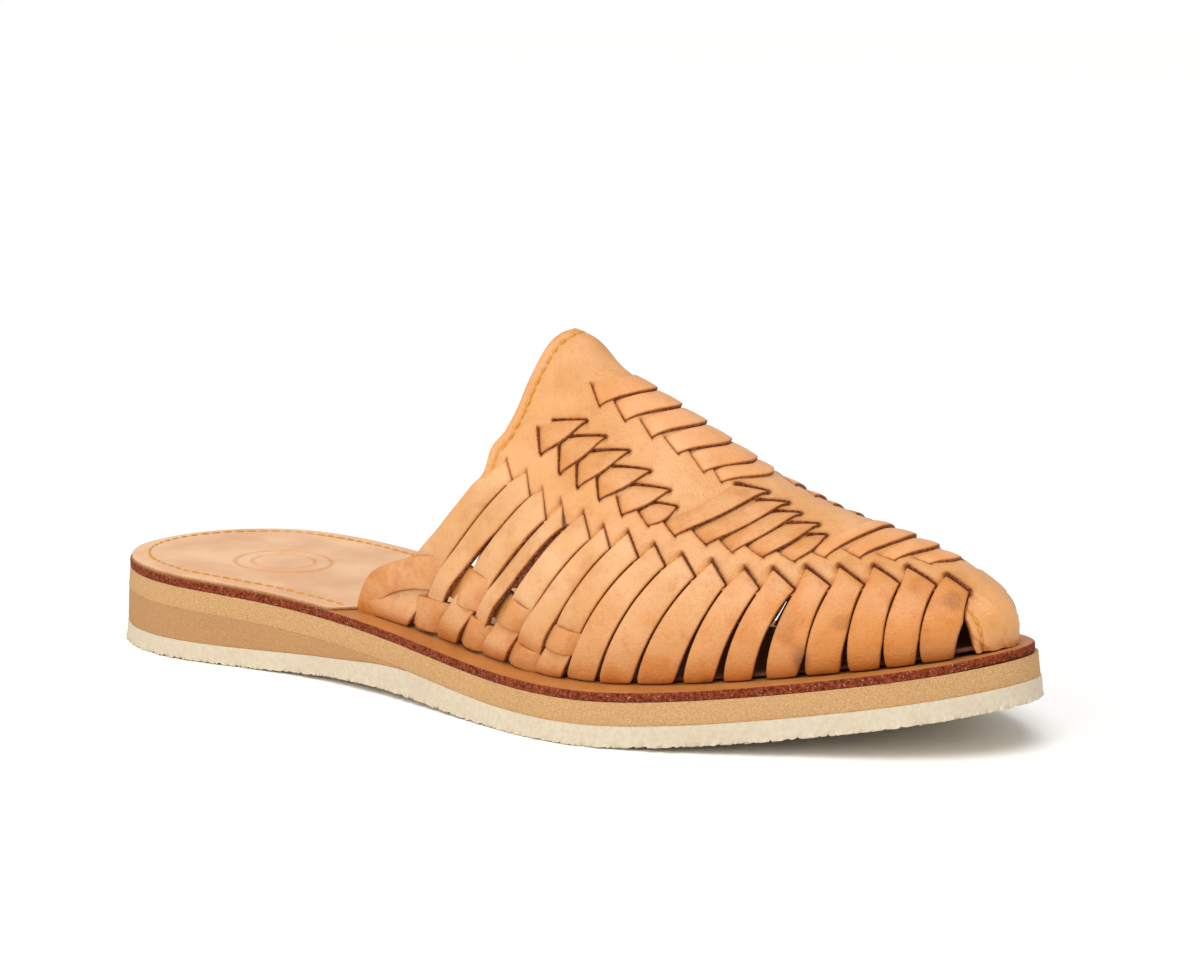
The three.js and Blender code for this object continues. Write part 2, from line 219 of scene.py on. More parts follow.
def edge_point(station, side, inset):
    """Plan points of the sole's edge, side -1 outer and +1 inner, moved in by inset along the edge's normal."""
    step = 0.002
    before, after = np.maximum(station - step, 0), np.minimum(station + step, math.pi)
    width = outer_width if side < 0 else inner_width
    along_x, along_y = x_at(after) - x_at(before), side * (width(after) - width(before))
    size = np.maximum(np.hypot(along_x, along_y), 1e-9)
    out_x, out_y = -along_y * side / size, along_x * side / size
    out_x = np.where(station < step, -1.0, np.where(station > math.pi - step, 1.0, out_x))
    out_y = np.where((station < step) | (station > math.pi - step), 0.0, out_y)
    return x_at(station) - inset * out_x, side * width(station) - inset * out_y


def toe_spring(x):
    """Lift of the sole towards the toe, as the 1.65th power of the way from where it starts to the tip."""
    return TOE_SPRING * np.maximum(0, (x - SPRING_FROM) / (TOE_TIP - SPRING_FROM)) ** 1.65


def outsole_bottom(x):
    """The tread, lifted by a squared sine of up to 1.5 mm at the waist, x 54 to 156."""
    return toe_spring(x) + 1.5 * np.sin(np.pi * np.clip((x - 54) / 102, 0, 1)) ** 2


def runner_top(x):
    """The level of the shelf: its height at the side, plus the toe spring."""
    return runner_rise(station_at(x)) + toe_spring(x)


def midsole_top(x):
    """The runner's top less its thickness."""
    return runner_top(x) - RUNNER_THICK


def midsole_bottom(x):
    """The midsole's top less its thickness."""
    return midsole_top(x) - MIDSOLE_THICK


def ease(t):
    """The smooth step 3 t^2 - 2 t^3 from 0 to 1."""
    t = np.clip(t, 0, 1)
    return t * t * (3 - 2 * t)


def outsole_top(x):
    """The crepe has its full thickness under the wedge, and meets the midsole where the wedge has run out."""
    return np.minimum(outsole_bottom(x) + OUTSOLE_THICK + 1.5 * ease((x - 88) / 32), midsole_bottom(x))


lattice = np.random.default_rng(7).random((32, 32, 32))


def noise(points, cell, turn_by=0.0):
    """Smooth noise from -1 to 1: random values on a cubic lattice of that cell, in millimetres, eased between."""
    q = np.asarray(points, float) / cell + turn_by
    low = np.floor(q).astype(int)
    f = q - low
    f = f * f * (3 - 2 * f)
    total = 0
    for corner in range(8):
        bits = np.array([corner & 1, corner >> 1 & 1, corner >> 2 & 1])
        weight = np.prod(np.where(bits == 1, f, 1 - f), axis=-1)
        k = (low + bits) % 32
        total = total + weight * lattice[k[..., 0], k[..., 1], k[..., 2]]
    return 2 * total - 1


def weld(points, triangles, *values):
    """Joins points closer than a thousandth of a millimetre and drops the triangles that this empties."""
    _, first, place = np.unique(np.round(points, 3), axis=0, return_index=True, return_inverse=True)
    joined = place.reshape(-1)[triangles]
    good = (joined[:, 0] != joined[:, 1]) & (joined[:, 1] != joined[:, 2]) & (joined[:, 2] != joined[:, 0])
    return [points[first], joined[good], *[v[first] for v in values]]


def outward(points, triangles):
    """Turns every triangle of a closed mesh outwards, by the sign of the volume it encloses."""
    a, b, c = (points[triangles[:, k]] for k in range(3))
    return triangles if np.einsum("ij,ij->", a, np.cross(b, c)) > 0 else triangles[:, ::-1]


def finish_piece(name, points, triangles, material, slot, smooth_angle=None, **attributes):
    """Places a piece in the row frame, from millimetres on the last, and lets it ride on the shoe."""
    made = mesh_object(name, (points - FRAME_SHIFT) / 1000, triangles, material, smooth_angle, **attributes)
    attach(made, "root")
    return made


def sole_layer(stations, profile, across, shape=None):
    """A closed layer of the sole. profile rows are (inset, height function, cut, height shift) from its bottom
    to its top edge; across are the shares of its width that the flat faces are drawn at."""
    rings = []
    for side in (-1, 1):
        wall = []
        for inset, height, cut, shift in profile:
            px, py = edge_point(stations, side, inset)
            wall.append(np.stack([px, py, height(x_at(stations)) + shift], -1))
        rings.append(np.stack(wall, 1))
    left, right = rings
    share = np.asarray(across)[1:-1, None]
    top = left[:, -1:, :] * (1 - share) + right[:, -1:, :] * share
    low = right[:, :1, :] * (1 - share[::4]) + left[:, :1, :] * share[::4]
    ring = np.concatenate([left, top, right[:, ::-1], low], 1)
    cut = np.array([row[2] for row in profile])
    cut = np.concatenate([cut, np.zeros(top.shape[1]), cut[::-1], np.ones(low.shape[1])])
    cut = np.broadcast_to(cut, ring.shape[:2]).reshape(-1)
    if shape is not None:
        ring = shape(ring)
    points, triangles, cut = weld(ring.reshape(-1, 3), grid_triangles(*ring.shape[:2], wrap=True), cut)
    return points, outward(points, triangles), cut


def even_stations(start, end, count):
    """Angles evenly spaced from one x to another, which lie closer together at the round ends."""
    return np.linspace(station_at(start), station_at(end), count)


def pushed_out(ring, push):
    """Each cross section of a layer moved level, away from its own middle, by push at each point."""
    out = ring - ring.mean(1, keepdims=True)
    out[..., 2] = 0
    return ring + out / np.maximum(np.linalg.norm(out, axis=-1, keepdims=True), 1e-6) * push[..., None]


def fade(distance, reach):
    """Falls from 1 as e to the minus distance / reach; it stays 1 where the distance is negative."""
    return np.exp(-np.maximum(distance, 0) / reach)


def bell(distance, reach):
    """The bell curve e to the minus (distance / reach) squared."""
    return np.exp(-((distance / reach) ** 2))


def ragged(ring):
    """Pushes the outsole's wall in and out, most at its torn lower edge, by two scales of noise."""
    torn = fade(ring[..., 2] - outsole_bottom(ring[..., 0]), 0.7)
    push = (0.08 + 0.4 * torn) * noise(ring, 1.0) + 0.55 * torn * noise(ring, 0.5, 0.37)
    fringe = 0.75 * torn * noise(ring, 0.6, 0.71)
    return pushed_out(ring, push) + np.array([0, 0, 1.0]) * np.maximum(fringe, -0.05)[..., None]


crepe, tree = new_material("crepe_rubber_knife_trimmed")
# Crepe rubber: creamy, cloudy and matt, with a crumb that scatters light and shows as darker specks. A pattern's
# scale is one metre over its grain: clouds of 17 mm and a crumb of 1.1 mm.
where = add(tree, "ShaderNodeTexCoord").outputs["Object"]
cloud = add(tree, "ShaderNodeTexNoise", {"Vector": where, "Scale": 60.0, "Detail": 4.0})
crumb = add(tree, "ShaderNodeTexNoise", {"Vector": where, "Scale": 900.0, "Detail": 3.0})
base = add(tree, "ShaderNodeMix", {0: cloud, 6: colour("#c9b99f"), 7: colour("#d6cbb5")}, data_type="RGBA")
speck = add(tree, "ShaderNodeMapRange", {0: crumb, 1: 0.35, 2: 0.6, 3: 0.25, 4: 0.0})
tone = add(tree, "ShaderNodeMix", {0: speck, 6: base, 7: colour("#b39c7e")}, data_type="RGBA")
bump = add(tree, "ShaderNodeBump", {"Height": crumb, "Strength": 0.35, "Distance": 0.0005})
surface = add(tree, "ShaderNodeBsdfPrincipled", {"Base Color": tone, "Normal": bump,
                                                  "Roughness": 0.8, "IOR": 1.52, "Specular IOR Level": 0.3})
add(tree, "ShaderNodeOutputMaterial", {"Surface": surface})

flat_shares = np.linspace(0, 1, 14)
points, triangles, cut = sole_layer(
    even_stations(HEEL_BACK, TOE_TIP, 1100),
    [(1.5, outsole_bottom, 1, 0.1), (-0.6, outsole_bottom, 1, 0.0), (-1.35, outsole_bottom, 1, 0.25),
     (-1.3, outsole_bottom, 1, 0.8), (-1.15, outsole_bottom, 1, 1.7), (-1.05, outsole_bottom, 1, 3.0),
     (-0.9, outsole_top, 1, -FIT_GAP - 0.6), (-0.8, outsole_top, 1, -FIT_GAP - 0.1),
     (-0.4, outsole_top, 1, -FIT_GAP)],
    flat_shares, ragged)
outsole = finish_piece("outsole_crepe", points, triangles, crepe, "crepe_rubber", 50)
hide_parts("outsole")

# ---- Foam heel wedge and midsole ----
# Two pieces of closed-cell EVA foam: a wedge that lifts the heel, under a midsole that runs the whole length.
# Both are cemented and then sanded together to the sole's edge, which opens the cells.


def foam(name, low, high, crumb_tint):
    """Sanded EVA foam: matt, its opened cells showing as fine darker and paler specks 0.4 mm across."""
    made, tree = new_material(name)
    where = add(tree, "ShaderNodeTexCoord").outputs["Object"]
    cells = add(tree, "ShaderNodeTexVoronoi", {"Vector": where, "Scale": 2600.0})
    drift = add(tree, "ShaderNodeTexNoise", {"Vector": where, "Scale": 35.0, "Detail": 3.0})
    grit = add(tree, "ShaderNodeTexNoise", {"Vector": where, "Scale": 3300.0, "Detail": 2.0})
    base = add(tree, "ShaderNodeMix", {0: drift, 6: colour(low), 7: colour(high)}, data_type="RGBA")
    share = add(tree, "ShaderNodeMapRange", {0: grit, 1: 0.42, 2: 0.62, 3: 0.0, 4: 0.5})
    tone = add(tree, "ShaderNodeMix", {0: share, 6: base, 7: colour(crumb_tint)}, data_type="RGBA")
    bump = add(tree, "ShaderNodeBump", {"Height": cells, "Strength": 0.4, "Distance": 0.0004})
    surface = add(tree, "ShaderNodeBsdfPrincipled", {"Base Color": tone, "Normal": bump,
                                                      "Roughness": 0.88, "IOR": 1.48, "Specular IOR Level": 0.2})
    add(tree, "ShaderNodeOutputMaterial", {"Surface": surface})
    return made


def sanded(ring):
    """Slight waves left in the sanded wall."""
    return pushed_out(ring, 0.1 * noise(ring, 6) + 0.06 * noise(ring, 1.2, 0.3))


def foam_profile(bottom, top, low_inset, high_inset):
    """Wall of a foam layer from its lower to its upper edge, both edges eased by the sander."""
    def to(share, gap):
        """The height that share of the way up the layer, moved by gap."""
        return lambda x: bottom(x) * (1 - share) + top(x) * share + gap

    return [(low_inset + 0.06, to(0, FIT_GAP), 1, 0), (low_inset, to(0.1, 0), 1, 0),
            (0.5 * (low_inset + high_inset), to(0.5, 0), 1, 0), (high_inset, to(0.9, 0), 1, 0),
            (high_inset + 0.06, to(1, -FIT_GAP), 1, 0)]


points, triangles, cut = sole_layer(even_stations(HEEL_BACK, WEDGE_END, 300),
                                    foam_profile(outsole_top, midsole_bottom, -0.8, -0.5), flat_shares, sanded)
wedge_foam = foam("eva_foam_sanded_pale", "#a97a4d", "#b8895a", "#c8a177")
wedge = finish_piece("heel_wedge_foam", points, triangles, wedge_foam, "wedge_foam", 50)
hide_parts("heel_wedge")
points, triangles, cut = sole_layer(even_stations(HEEL_BACK, TOE_TIP, 620),
                                    foam_profile(midsole_bottom, midsole_top, -0.5, 0.0), flat_shares, sanded)
midsole_foam = foam("eva_foam_sanded", "#b48650", "#c49664", "#dcbc92")
midsole = finish_piece("midsole_foam", points, triangles, midsole_foam, "midsole_foam", 50)
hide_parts("midsole")

# ---- Leather runner ----
# A 2.3 mm sole-leather board between the foam and the upper. Its cut edge is stained red-brown and left fibrous,
# and its top shows as a narrow, polished shelf all round the upper's foot.


def fibrous(ring):
    """Roughens the cut edge of the board by noise of 0.8 and 3 mm."""
    height = ring[..., 2] - midsole_top(ring[..., 0])
    edge = np.where((height > -0.2) & (height < 2.15), 1.0, 0.25)
    return pushed_out(ring, edge * (0.16 * noise(ring, 0.8) + 0.1 * noise(ring, 3.0, 0.5)))


board, tree = new_material("sole_leather_stained_edge")
# Sole leather: the polished grain side is orange-tan with brown rubbing 11 mm across; the cut edge is dark, dry
# and fibrous, with fibres of 0.8 mm and pale specks of lint.
where = add(tree, "ShaderNodeTexCoord").outputs["Object"]
rub = add(tree, "ShaderNodeTexNoise", {"Vector": where, "Scale": 90.0, "Detail": 5.0, "Roughness": 0.6})
fibre = add(tree, "ShaderNodeTexNoise", {"Vector": where, "Scale": 1300.0, "Detail": 4.0})
grain_tone = add(tree, "ShaderNodeMix", {0: rub, 6: colour("#9a5827"), 7: colour("#d08f50")}, data_type="RGBA")
edge_share = add(tree, "ShaderNodeMapRange", {0: fibre, 1: 0.35, 2: 0.68, 3: 0.0, 4: 1.0})
edge_tone = add(tree, "ShaderNodeMix", {0: edge_share, 6: colour("#541c0c"), 7: colour("#954324")}, data_type="RGBA")
lint = add(tree, "ShaderNodeTexNoise", {"Vector": where, "Scale": 2100.0, "Detail": 2.0})
lint_share = add(tree, "ShaderNodeMapRange", {0: lint, 1: 0.62, 2: 0.72, 3: 0.0, 4: 0.6})
linted = add(tree, "ShaderNodeMix", {0: lint_share, 6: edge_tone, 7: colour("#cfa68c")}, data_type="RGBA")
cut_here = add(tree, "ShaderNodeAttribute", attribute_name="cut").outputs["Fac"]
tone = add(tree, "ShaderNodeMix", {0: cut_here, 6: grain_tone, 7: linted}, data_type="RGBA")
gloss = add(tree, "ShaderNodeMapRange", {0: cut_here, 1: 0.0, 2: 1.0, 3: 0.45, 4: 0.9})
bump = add(tree, "ShaderNodeBump", {"Height": fibre, "Strength": 0.3, "Distance": 0.0004})
surface = add(tree, "ShaderNodeBsdfPrincipled", {"Base Color": tone, "Normal": bump,
                                                  "Roughness": gloss, "IOR": 1.45, "Specular IOR Level": 0.2})
add(tree, "ShaderNodeOutputMaterial", {"Surface": surface})
runner_stations = even_stations(HEEL_BACK, TOE_TIP, 900)
tip_cut = 0.9 * ease((x_at(runner_stations) - 255) / 13)
points, triangles, cut = sole_layer(
    runner_stations,
    [(tip_cut + inset, height, cut, shift) for inset, height, cut, shift in (
        (0.3, midsole_top, 1, FIT_GAP), (0.02, midsole_top, 1, FIT_GAP + 0.15), (0.0, midsole_top, 1, 0.8),
        (0.0, midsole_top, 1, 1.5), (0.02, runner_top, 1, -0.35), (0.12, runner_top, 1, -0.12),
        (0.35, runner_top, 0.35, -0.02), (0.7, runner_top, 0, 0.0))],
    np.r_[0, np.linspace(0.01, 0.99, 40), 1], fibrous)
runner = finish_piece("runner_leather", points, triangles, board, "runner_leather", 50, cut=cut)
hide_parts("runner")

# ---- The last ----
# The wooden form that the upper is shaped on: its section is a cubic curve from the foot of the wall to the
# ridge on each side. Every piece of the upper is laid out on its skin.
last_rows = np.array([  # x, shelf, ridge height, ridge side shift, lean, ridge slope, side fullness, top fullness
    (88, 6.4, 119, -1.0, 8, 6, 0.42, 0.26), (130, 7.6, 97.3, -3.5, 11, 6, 0.42, 0.28),
    (144, 7.9, 90.4, -4.2, 12, 6, 0.42, 0.28), (165, 8.2, 80.1, -5.0, 16, 6, 0.45, 0.32),
    (185, 8.5, 69.9, -3.9, 19, 6, 0.48, 0.35), (205, 8.3, 58.7, -1.1, 21, 6, 0.50, 0.40),
    (225, 7.5, 51.3, 2.1, 22, 5, 0.52, 0.45), (245, 6.3, 45.6, 4.3, 22, 5, 0.54, 0.48),
    (257, 5.3, 41.2, 4.6, 21, 5, 0.55, 0.50), (265, 4.2, 36.6, 4.2, 20, 5, 0.55, 0.50),
    (270, 3.8, 27.0, 3.0, 20, 5, 0.55, 0.50)])
shelf, ridge_z, ridge_y, lean, ridge_slope, side_full, top_full = (
    natural_spline(station_at(last_rows[:, 0]), last_rows[:, k]) for k in range(1, 8))
SKIN_FROM, SKIN_ROWS, SKIN_HALF = 88, 520, 150  # where the skin starts, its rows, and points in a half row
ROUNDED, BEYOND = 14, 10  # points each side of the ridge that are rounded, and that are read past them


def last_section(stations, side):
    """Half sections of the last from the ridge down to the foot: rows of points evenly spaced along the cubic
    with ends at foot and ridge and handles set by lean, slope and fullness. Also gives each one's length."""
    feet = [np.stack(edge_point(stations, s, shelf(stations)), -1) for s in (-1, 1)]
    foot_z = [runner_top(f[:, 0]) + 0.3 for f in feet]
    share = np.clip((ridge_y(stations) - feet[0][:, 1]) / np.maximum(feet[1][:, 1] - feet[0][:, 1], 1e-6), 0.05, 0.95)
    ridge = feet[0] * (1 - share[:, None]) + feet[1] * share[:, None]
    top = np.maximum(ridge_z(stations), np.maximum(foot_z[0], foot_z[1]))
    foot, low = (feet[0], foot_z[0]) if side < 0 else (feet[1], foot_z[1])
    inward = ridge - foot
    reach = np.maximum(np.linalg.norm(inward, axis=1), 1e-6)
    inward = inward / reach[:, None]
    rise = top - low
    out = np.tan(np.radians(lean(stations))) * side_full(stations) * rise
    back = top_full(stations) * reach
    fall = np.minimum(np.tan(np.radians(ridge_slope(stations))) * back, 0.3 * rise)
    ends = [np.c_[foot, low], np.c_[foot - inward * out[:, None], low + side_full(stations) * rise],
            np.c_[ridge - inward * back[:, None], top - fall], np.c_[ridge, top]]
    t = np.linspace(0, 1, 400)[None, :, None]
    weights = [(1 - t) ** 3, 3 * (1 - t) ** 2 * t, 3 * (1 - t) * t**2, t**3]
    curve = sum(w * e[:, None, :] for w, e in zip(weights, ends))[:, ::-1]
    run = np.concatenate([np.zeros((len(stations), 1)),
                          np.cumsum(np.linalg.norm(np.diff(curve, axis=1), axis=2), axis=1)], 1)
    even = np.linspace(0, 1, SKIN_HALF + 1)
    rows = [np.stack([np.interp(even * r[-1], r, c[:, k]) for k in range(3)], -1) for r, c in zip(run, curve)]
    return np.array(rows), run[:, -1]


skin_stations = np.linspace(station_at(SKIN_FROM), math.pi - 0.02, SKIN_ROWS)
outer_half, outer_girth = last_section(skin_stations, -1)
inner_half, inner_girth = last_section(skin_stations, 1)
skin_points = np.concatenate([inner_half[:, ::-1], outer_half[:, 1:]], 1)
soft = np.ones(9) / 9  # rounds the ridge where the two half sections meet
near_ridge = slice(SKIN_HALF - ROUNDED, SKIN_HALF + ROUNDED + 1)
read_ridge = slice(SKIN_HALF - ROUNDED - BEYOND, SKIN_HALF + ROUNDED + BEYOND + 1)
for _ in range(2):
    for k in range(3):
        smooth = np.apply_along_axis(lambda row: np.convolve(row, soft, "same"), 1, skin_points[:, read_ridge, k])
        skin_points[:, near_ridge, k] = smooth[:, BEYOND:-BEYOND]
across_skin = np.gradient(skin_points, axis=1)
along_skin = np.gradient(skin_points, axis=0)
skin_normals = np.cross(along_skin, across_skin)
skin_normals /= np.maximum(np.linalg.norm(skin_normals, axis=2, keepdims=True), 1e-9)
if skin_normals[SKIN_ROWS // 2, SKIN_HALF, 2] < 0:
    skin_normals = -skin_normals
skin_x = x_at(skin_stations)
ridge_run = run_along(skin_points[:, SKIN_HALF])


def girth(x, side):
    """Length of the half section at x from the ridge to the foot, side +1 outer and -1 inner."""
    return np.where(side >= 0, np.interp(x, skin_x, outer_girth), np.interp(x, skin_x, inner_girth))


def skin(x, share, lift):
    """Points on the last's skin at x and girth share, 1 at the outer foot, 0 on the ridge and -1 at the inner
    foot, raised by lift along the normal: both are read from the lattice of half sections, linearly."""
    row = (station_at(x) - skin_stations[0]) / (skin_stations[1] - skin_stations[0])
    row = np.clip(row, 0, SKIN_ROWS - 1.001)
    below = np.maximum(np.abs(share) - 1, 0) * girth(x, share)
    column = np.clip((np.clip(share, -1, 1) + 1) * SKIN_HALF, 0, 2 * SKIN_HALF - 0.001)
    i, j = row.astype(int), column.astype(int)
    a, b = (row - i)[..., None], (column - j)[..., None]

    def read(table):
        """The table's value between its four nearest points."""
        return ((table[i, j] * (1 - b) + table[i, j + 1] * b) * (1 - a)
                + (table[i + 1, j] * (1 - b) + table[i + 1, j + 1] * b) * a)

    points = read(skin_points) + read(skin_normals) * np.asarray(lift)[..., None]
    points[..., 2] -= below
    return points


# ---- Insole ----
# A thin board covered in pinkish veg-tan leather, cemented on the runner: full width at the heel and drawn in
# under the upper. A golden stitch line runs round the heel, and a plain double ring is pressed into the seat.
INSOLE_THICK = 0.95
RING_OUTER, RING_INNER = 13, 8.5  # radii of the pressed rings


def insole_edge(stations):
    """Inset of the insole: half a millimetre at the heel, then eased over x 88 to 94 to inside the upper's foot."""
    inside = shelf(np.maximum(stations, skin_stations[0])) + 3.2
    return 0.5 + (inside - 0.5) * ease((x_at(stations) - SKIN_FROM) / 6)


def insole_base(x):
    """The underside of the insole, just clear of the runner."""
    return runner_top(x) + 0.04


def from_rings(points):
    """Level distance from the middle of the two rings."""
    return np.hypot(points[..., 0] - 49, points[..., 1] + 3)


def pressed(ring):
    """Presses the two rings into the seat, and leaves the leather slightly uneven."""
    top = ring[..., 2] > insole_base(ring[..., 0]) + 0.8 * INSOLE_THICK
    away = from_rings(ring)
    dent = 0.35 * bell(away - RING_OUTER, 0.5) + 0.25 * bell(away - RING_INNER, 0.45)
    ring = ring.copy()
    ring[..., 2] -= np.where(top, dent, 0)
    ring[..., 2] += np.where(top, 0.12 * noise(ring, 14), 0)
    return ring


def vegetable_tan(name, deep, pale, burnt, grain=1.0, gloss=0.42):
    """Vegetable-tanned calf, oiled and rubbed by hand: warm and uneven in colour, satin where the grain side
    shows, browner and warmer where it was burnished and where shade is painted along edges, dark brown where shade
    is painted into slits, creases and gaps, and dark, dry and fibrous where it was cut. Its grains, as one metre
    over the scales, are blotches of 18 mm, clouds of 6 mm, pits of 1.3 mm, fibres of 0.9 mm and pores of 0.7 mm."""
    made, tree = new_material(name)
    where = add(tree, "ShaderNodeTexCoord").outputs["Object"]
    blotch = add(tree, "ShaderNodeTexNoise", {"Vector": where, "Scale": 55.0, "Detail": 3.0, "Roughness": 0.5})
    share = add(tree, "ShaderNodeMapRange", {0: blotch, 1: 0.36, 2: 0.64, 3: 0.0, 4: 1.0})
    base = add(tree, "ShaderNodeMix", {0: share, 6: colour(deep), 7: colour(pale)}, data_type="RGBA")
    cloud = add(tree, "ShaderNodeTexNoise", {"Vector": where, "Scale": 170.0, "Detail": 5.0, "Roughness": 0.62})
    rubbed = add(tree, "ShaderNodeMapRange", {0: cloud, 1: 0.53, 2: 0.78, 3: 0.0, 4: 0.5})
    fine = add(tree, "ShaderNodeTexNoise", {"Vector": where, "Scale": 800.0, "Detail": 3.0, "Roughness": 0.6})
    pitted = add(tree, "ShaderNodeMapRange", {0: fine, 1: 0.5, 2: 0.8, 3: 0.0, 4: 0.28})
    marks = add(tree, "ShaderNodeMath", {0: rubbed, 1: pitted}, operation="ADD")
    shade = add(tree, "ShaderNodeAttribute", attribute_name="shade").outputs["Fac"]
    # The marks grow stronger with the shade attribute, which holds both tone and painted shade.
    marks_by_tone_and_shade = add(tree, "ShaderNodeMapRange", {0: shade, 1: 0.05, 2: 0.5, 3: 0.7, 4: 1.9})
    marked = add(tree, "ShaderNodeMath", {0: marks, 1: marks_by_tone_and_shade}, operation="MULTIPLY")
    worn = add(tree, "ShaderNodeMix", {0: marked, 6: base, 7: colour(burnt)}, data_type="RGBA")
    # Up to 0.5 the shade attribute warms the leather towards orange-brown, for its tone and for shade painted along
    # strap edges; above 0.5 it paints dark brown shade into slits, creases, gaps and under the vamp.
    warm = add(tree, "ShaderNodeMapRange", {0: shade, 1: 0.0, 2: 0.5, 3: 0.0, 4: 0.75})
    warmed_by_tone_and_shade = add(tree, "ShaderNodeMix", {0: warm, 6: worn, 7: colour("#c87522")}, data_type="RGBA")
    painted_crease_shade = add(tree, "ShaderNodeMapRange", {0: shade, 1: 0.5, 2: 0.95, 3: 0.0, 4: 0.92})
    with_painted_shade = add(tree, "ShaderNodeMix", {0: painted_crease_shade, 6: warmed_by_tone_and_shade, 7: colour("#4a1e0e")}, data_type="RGBA")
    fibre = add(tree, "ShaderNodeTexNoise", {"Vector": where, "Scale": 1100.0, "Detail": 4.0, "Roughness": 0.65})
    fuzz = add(tree, "ShaderNodeMapRange", {0: fibre, 1: 0.38, 2: 0.68, 3: 0.0, 4: 1.0})
    raw = add(tree, "ShaderNodeMix", {0: fuzz, 6: colour("#4e2110"), 7: colour("#a8683f")}, data_type="RGBA")
    cut = add(tree, "ShaderNodeAttribute", attribute_name="cut").outputs["Fac"]
    tone = add(tree, "ShaderNodeMix", {0: cut, 6: with_painted_shade, 7: raw}, data_type="RGBA")
    pores = add(tree, "ShaderNodeTexVoronoi", {"Vector": where, "Scale": 1500.0})
    wrinkle = add(tree, "ShaderNodeTexNoise", {"Vector": where, "Scale": 420.0, "Detail": 4.0})
    height = add(tree, "ShaderNodeMath", {0: pores, 1: wrinkle}, operation="ADD")
    bump = add(tree, "ShaderNodeBump", {"Height": height, "Strength": 0.25 * grain, "Distance": 0.0004})
    dry = add(tree, "ShaderNodeMapRange", {0: cut, 1: 0.0, 2: 1.0, 3: gloss, 4: 0.95})
    surface = add(tree, "ShaderNodeBsdfPrincipled", {"Base Color": tone, "Normal": bump,
                                                      "Roughness": dry, "IOR": 1.48, "Specular IOR Level": 0.4})
    add(tree, "ShaderNodeOutputMaterial", {"Surface": surface})
    return made


def resample(path, step):
    """Points spaced evenly by about step along a path, ends kept."""
    path = np.asarray(path, float)
    run = run_along(path)
    even = np.linspace(0, run[-1], max(2, int(round(run[-1] / step)) + 1))
    return np.stack([np.interp(even, run, path[:, k]) for k in range(path.shape[1])], -1)


def stitches(path, up, pitch=3.2, length=2.7, radius=0.32, rise=0.22):
    """Threads along a path on a surface, one each pitch: rings of six points on an ellipse, whose centre rises
    as a half sine between the two holes and whose radius closes at the ends."""
    run = run_along(path)
    starts = np.arange(0.4, run[-1] - length, pitch)
    t = np.array([0, 0.08, 0.28, 0.5, 0.72, 0.92, 1.0])
    place = starts[:, None] + t * length
    centre = np.stack([np.interp(place, run, path[:, k]) for k in range(3)], -1)
    above = np.stack([np.interp(place, run, up[:, k]) for k in range(3)], -1)
    above /= np.linalg.norm(above, axis=-1, keepdims=True)
    ahead = np.gradient(centre, axis=1)
    ahead /= np.linalg.norm(ahead, axis=-1, keepdims=True)
    aside = np.cross(above, ahead)
    thick = radius * np.array([0.3, 0.75, 1, 1.05, 1, 0.75, 0.3])
    centre = centre + above * (rise * np.sin(math.pi * t) - 0.12)[:, None]
    angle = np.arange(6) * math.pi / 3
    ring = (centre[:, :, None] + thick[:, None, None]
            * (np.cos(angle)[:, None] * aside[:, :, None] * 1.15 + np.sin(angle)[:, None] * above[:, :, None]))
    count, rings = len(starts), len(t)
    one = grid_triangles(rings, 6, wrap=True)
    caps = [[(0, k + 1, k) for k in range(1, 5)], [((rings - 1) * 6, (rings - 1) * 6 + k, (rings - 1) * 6 + k + 1)
                                                    for k in range(1, 5)]]
    one = np.concatenate([one, *[np.array(c) for c in caps]])
    one = outward(ring[0].reshape(-1, 3) - ring[0].mean((0, 1)), one)
    triangles = (one[None] + 6 * rings * np.arange(count)[:, None, None]).reshape(-1, 3)
    return ring.reshape(-1, 3), triangles


thread, tree = new_material("waxed_linen_thread")
# Waxed golden thread: a soft sheen along its twisted plies, 0.7 mm apart.
where = add(tree, "ShaderNodeTexCoord").outputs["Object"]
ply = add(tree, "ShaderNodeTexNoise", {"Vector": where, "Scale": 1500.0, "Detail": 2.0})
tone = add(tree, "ShaderNodeMix", {0: ply, 6: colour("#a8660e"), 7: colour("#e8a630")}, data_type="RGBA")
surface = add(tree, "ShaderNodeBsdfPrincipled", {"Base Color": tone, "Roughness": 0.5})
add(tree, "ShaderNodeOutputMaterial", {"Surface": surface})

insole_x = np.r_[HEEL_BACK, np.linspace(1.6, 34, 60), np.linspace(34.4, 64, 74), np.linspace(65, 269.5, 110), TOE_TIP]
insole_stations = station_at(insole_x)
inset = insole_edge(insole_stations)
near_ring = np.linspace(-22, 16, 90) / 70 + 0.5
shares = np.unique(np.concatenate([np.linspace(0, 1, 40), near_ring]))
points, triangles, cut = sole_layer(
    insole_stations,
    [(inset + 0.2, insole_base, 1, 0.0), (inset, insole_base, 1, 0.1), (inset, insole_base, 1, 0.5),
     (inset + 0.05, insole_base, 0.5, 0.76), (inset + 0.25, insole_base, 0, 0.91),
     (inset + 0.6, insole_base, 0, INSOLE_THICK)],
    shares, pressed)
away = from_rings(points)
shade = 0.3 * bell(away - RING_OUTER, 0.7) + 0.25 * bell(away - RING_INNER, 0.6)
# Shade painted dark brown on the footbed from x 108 forward, where the vamp covers it.
shade += 0.85 * ease((points[:, 0] - 108) / 60)
pink_tan = vegetable_tan("vegetable_tanned_insole", "#d7a57a", "#e6ba91", "#cc9263", 0.5, 0.5)
insole = finish_piece("insole_leather", points, triangles, pink_tan, "insole_leather", 50, cut=0.6 * cut, shade=shade)
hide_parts("insole")

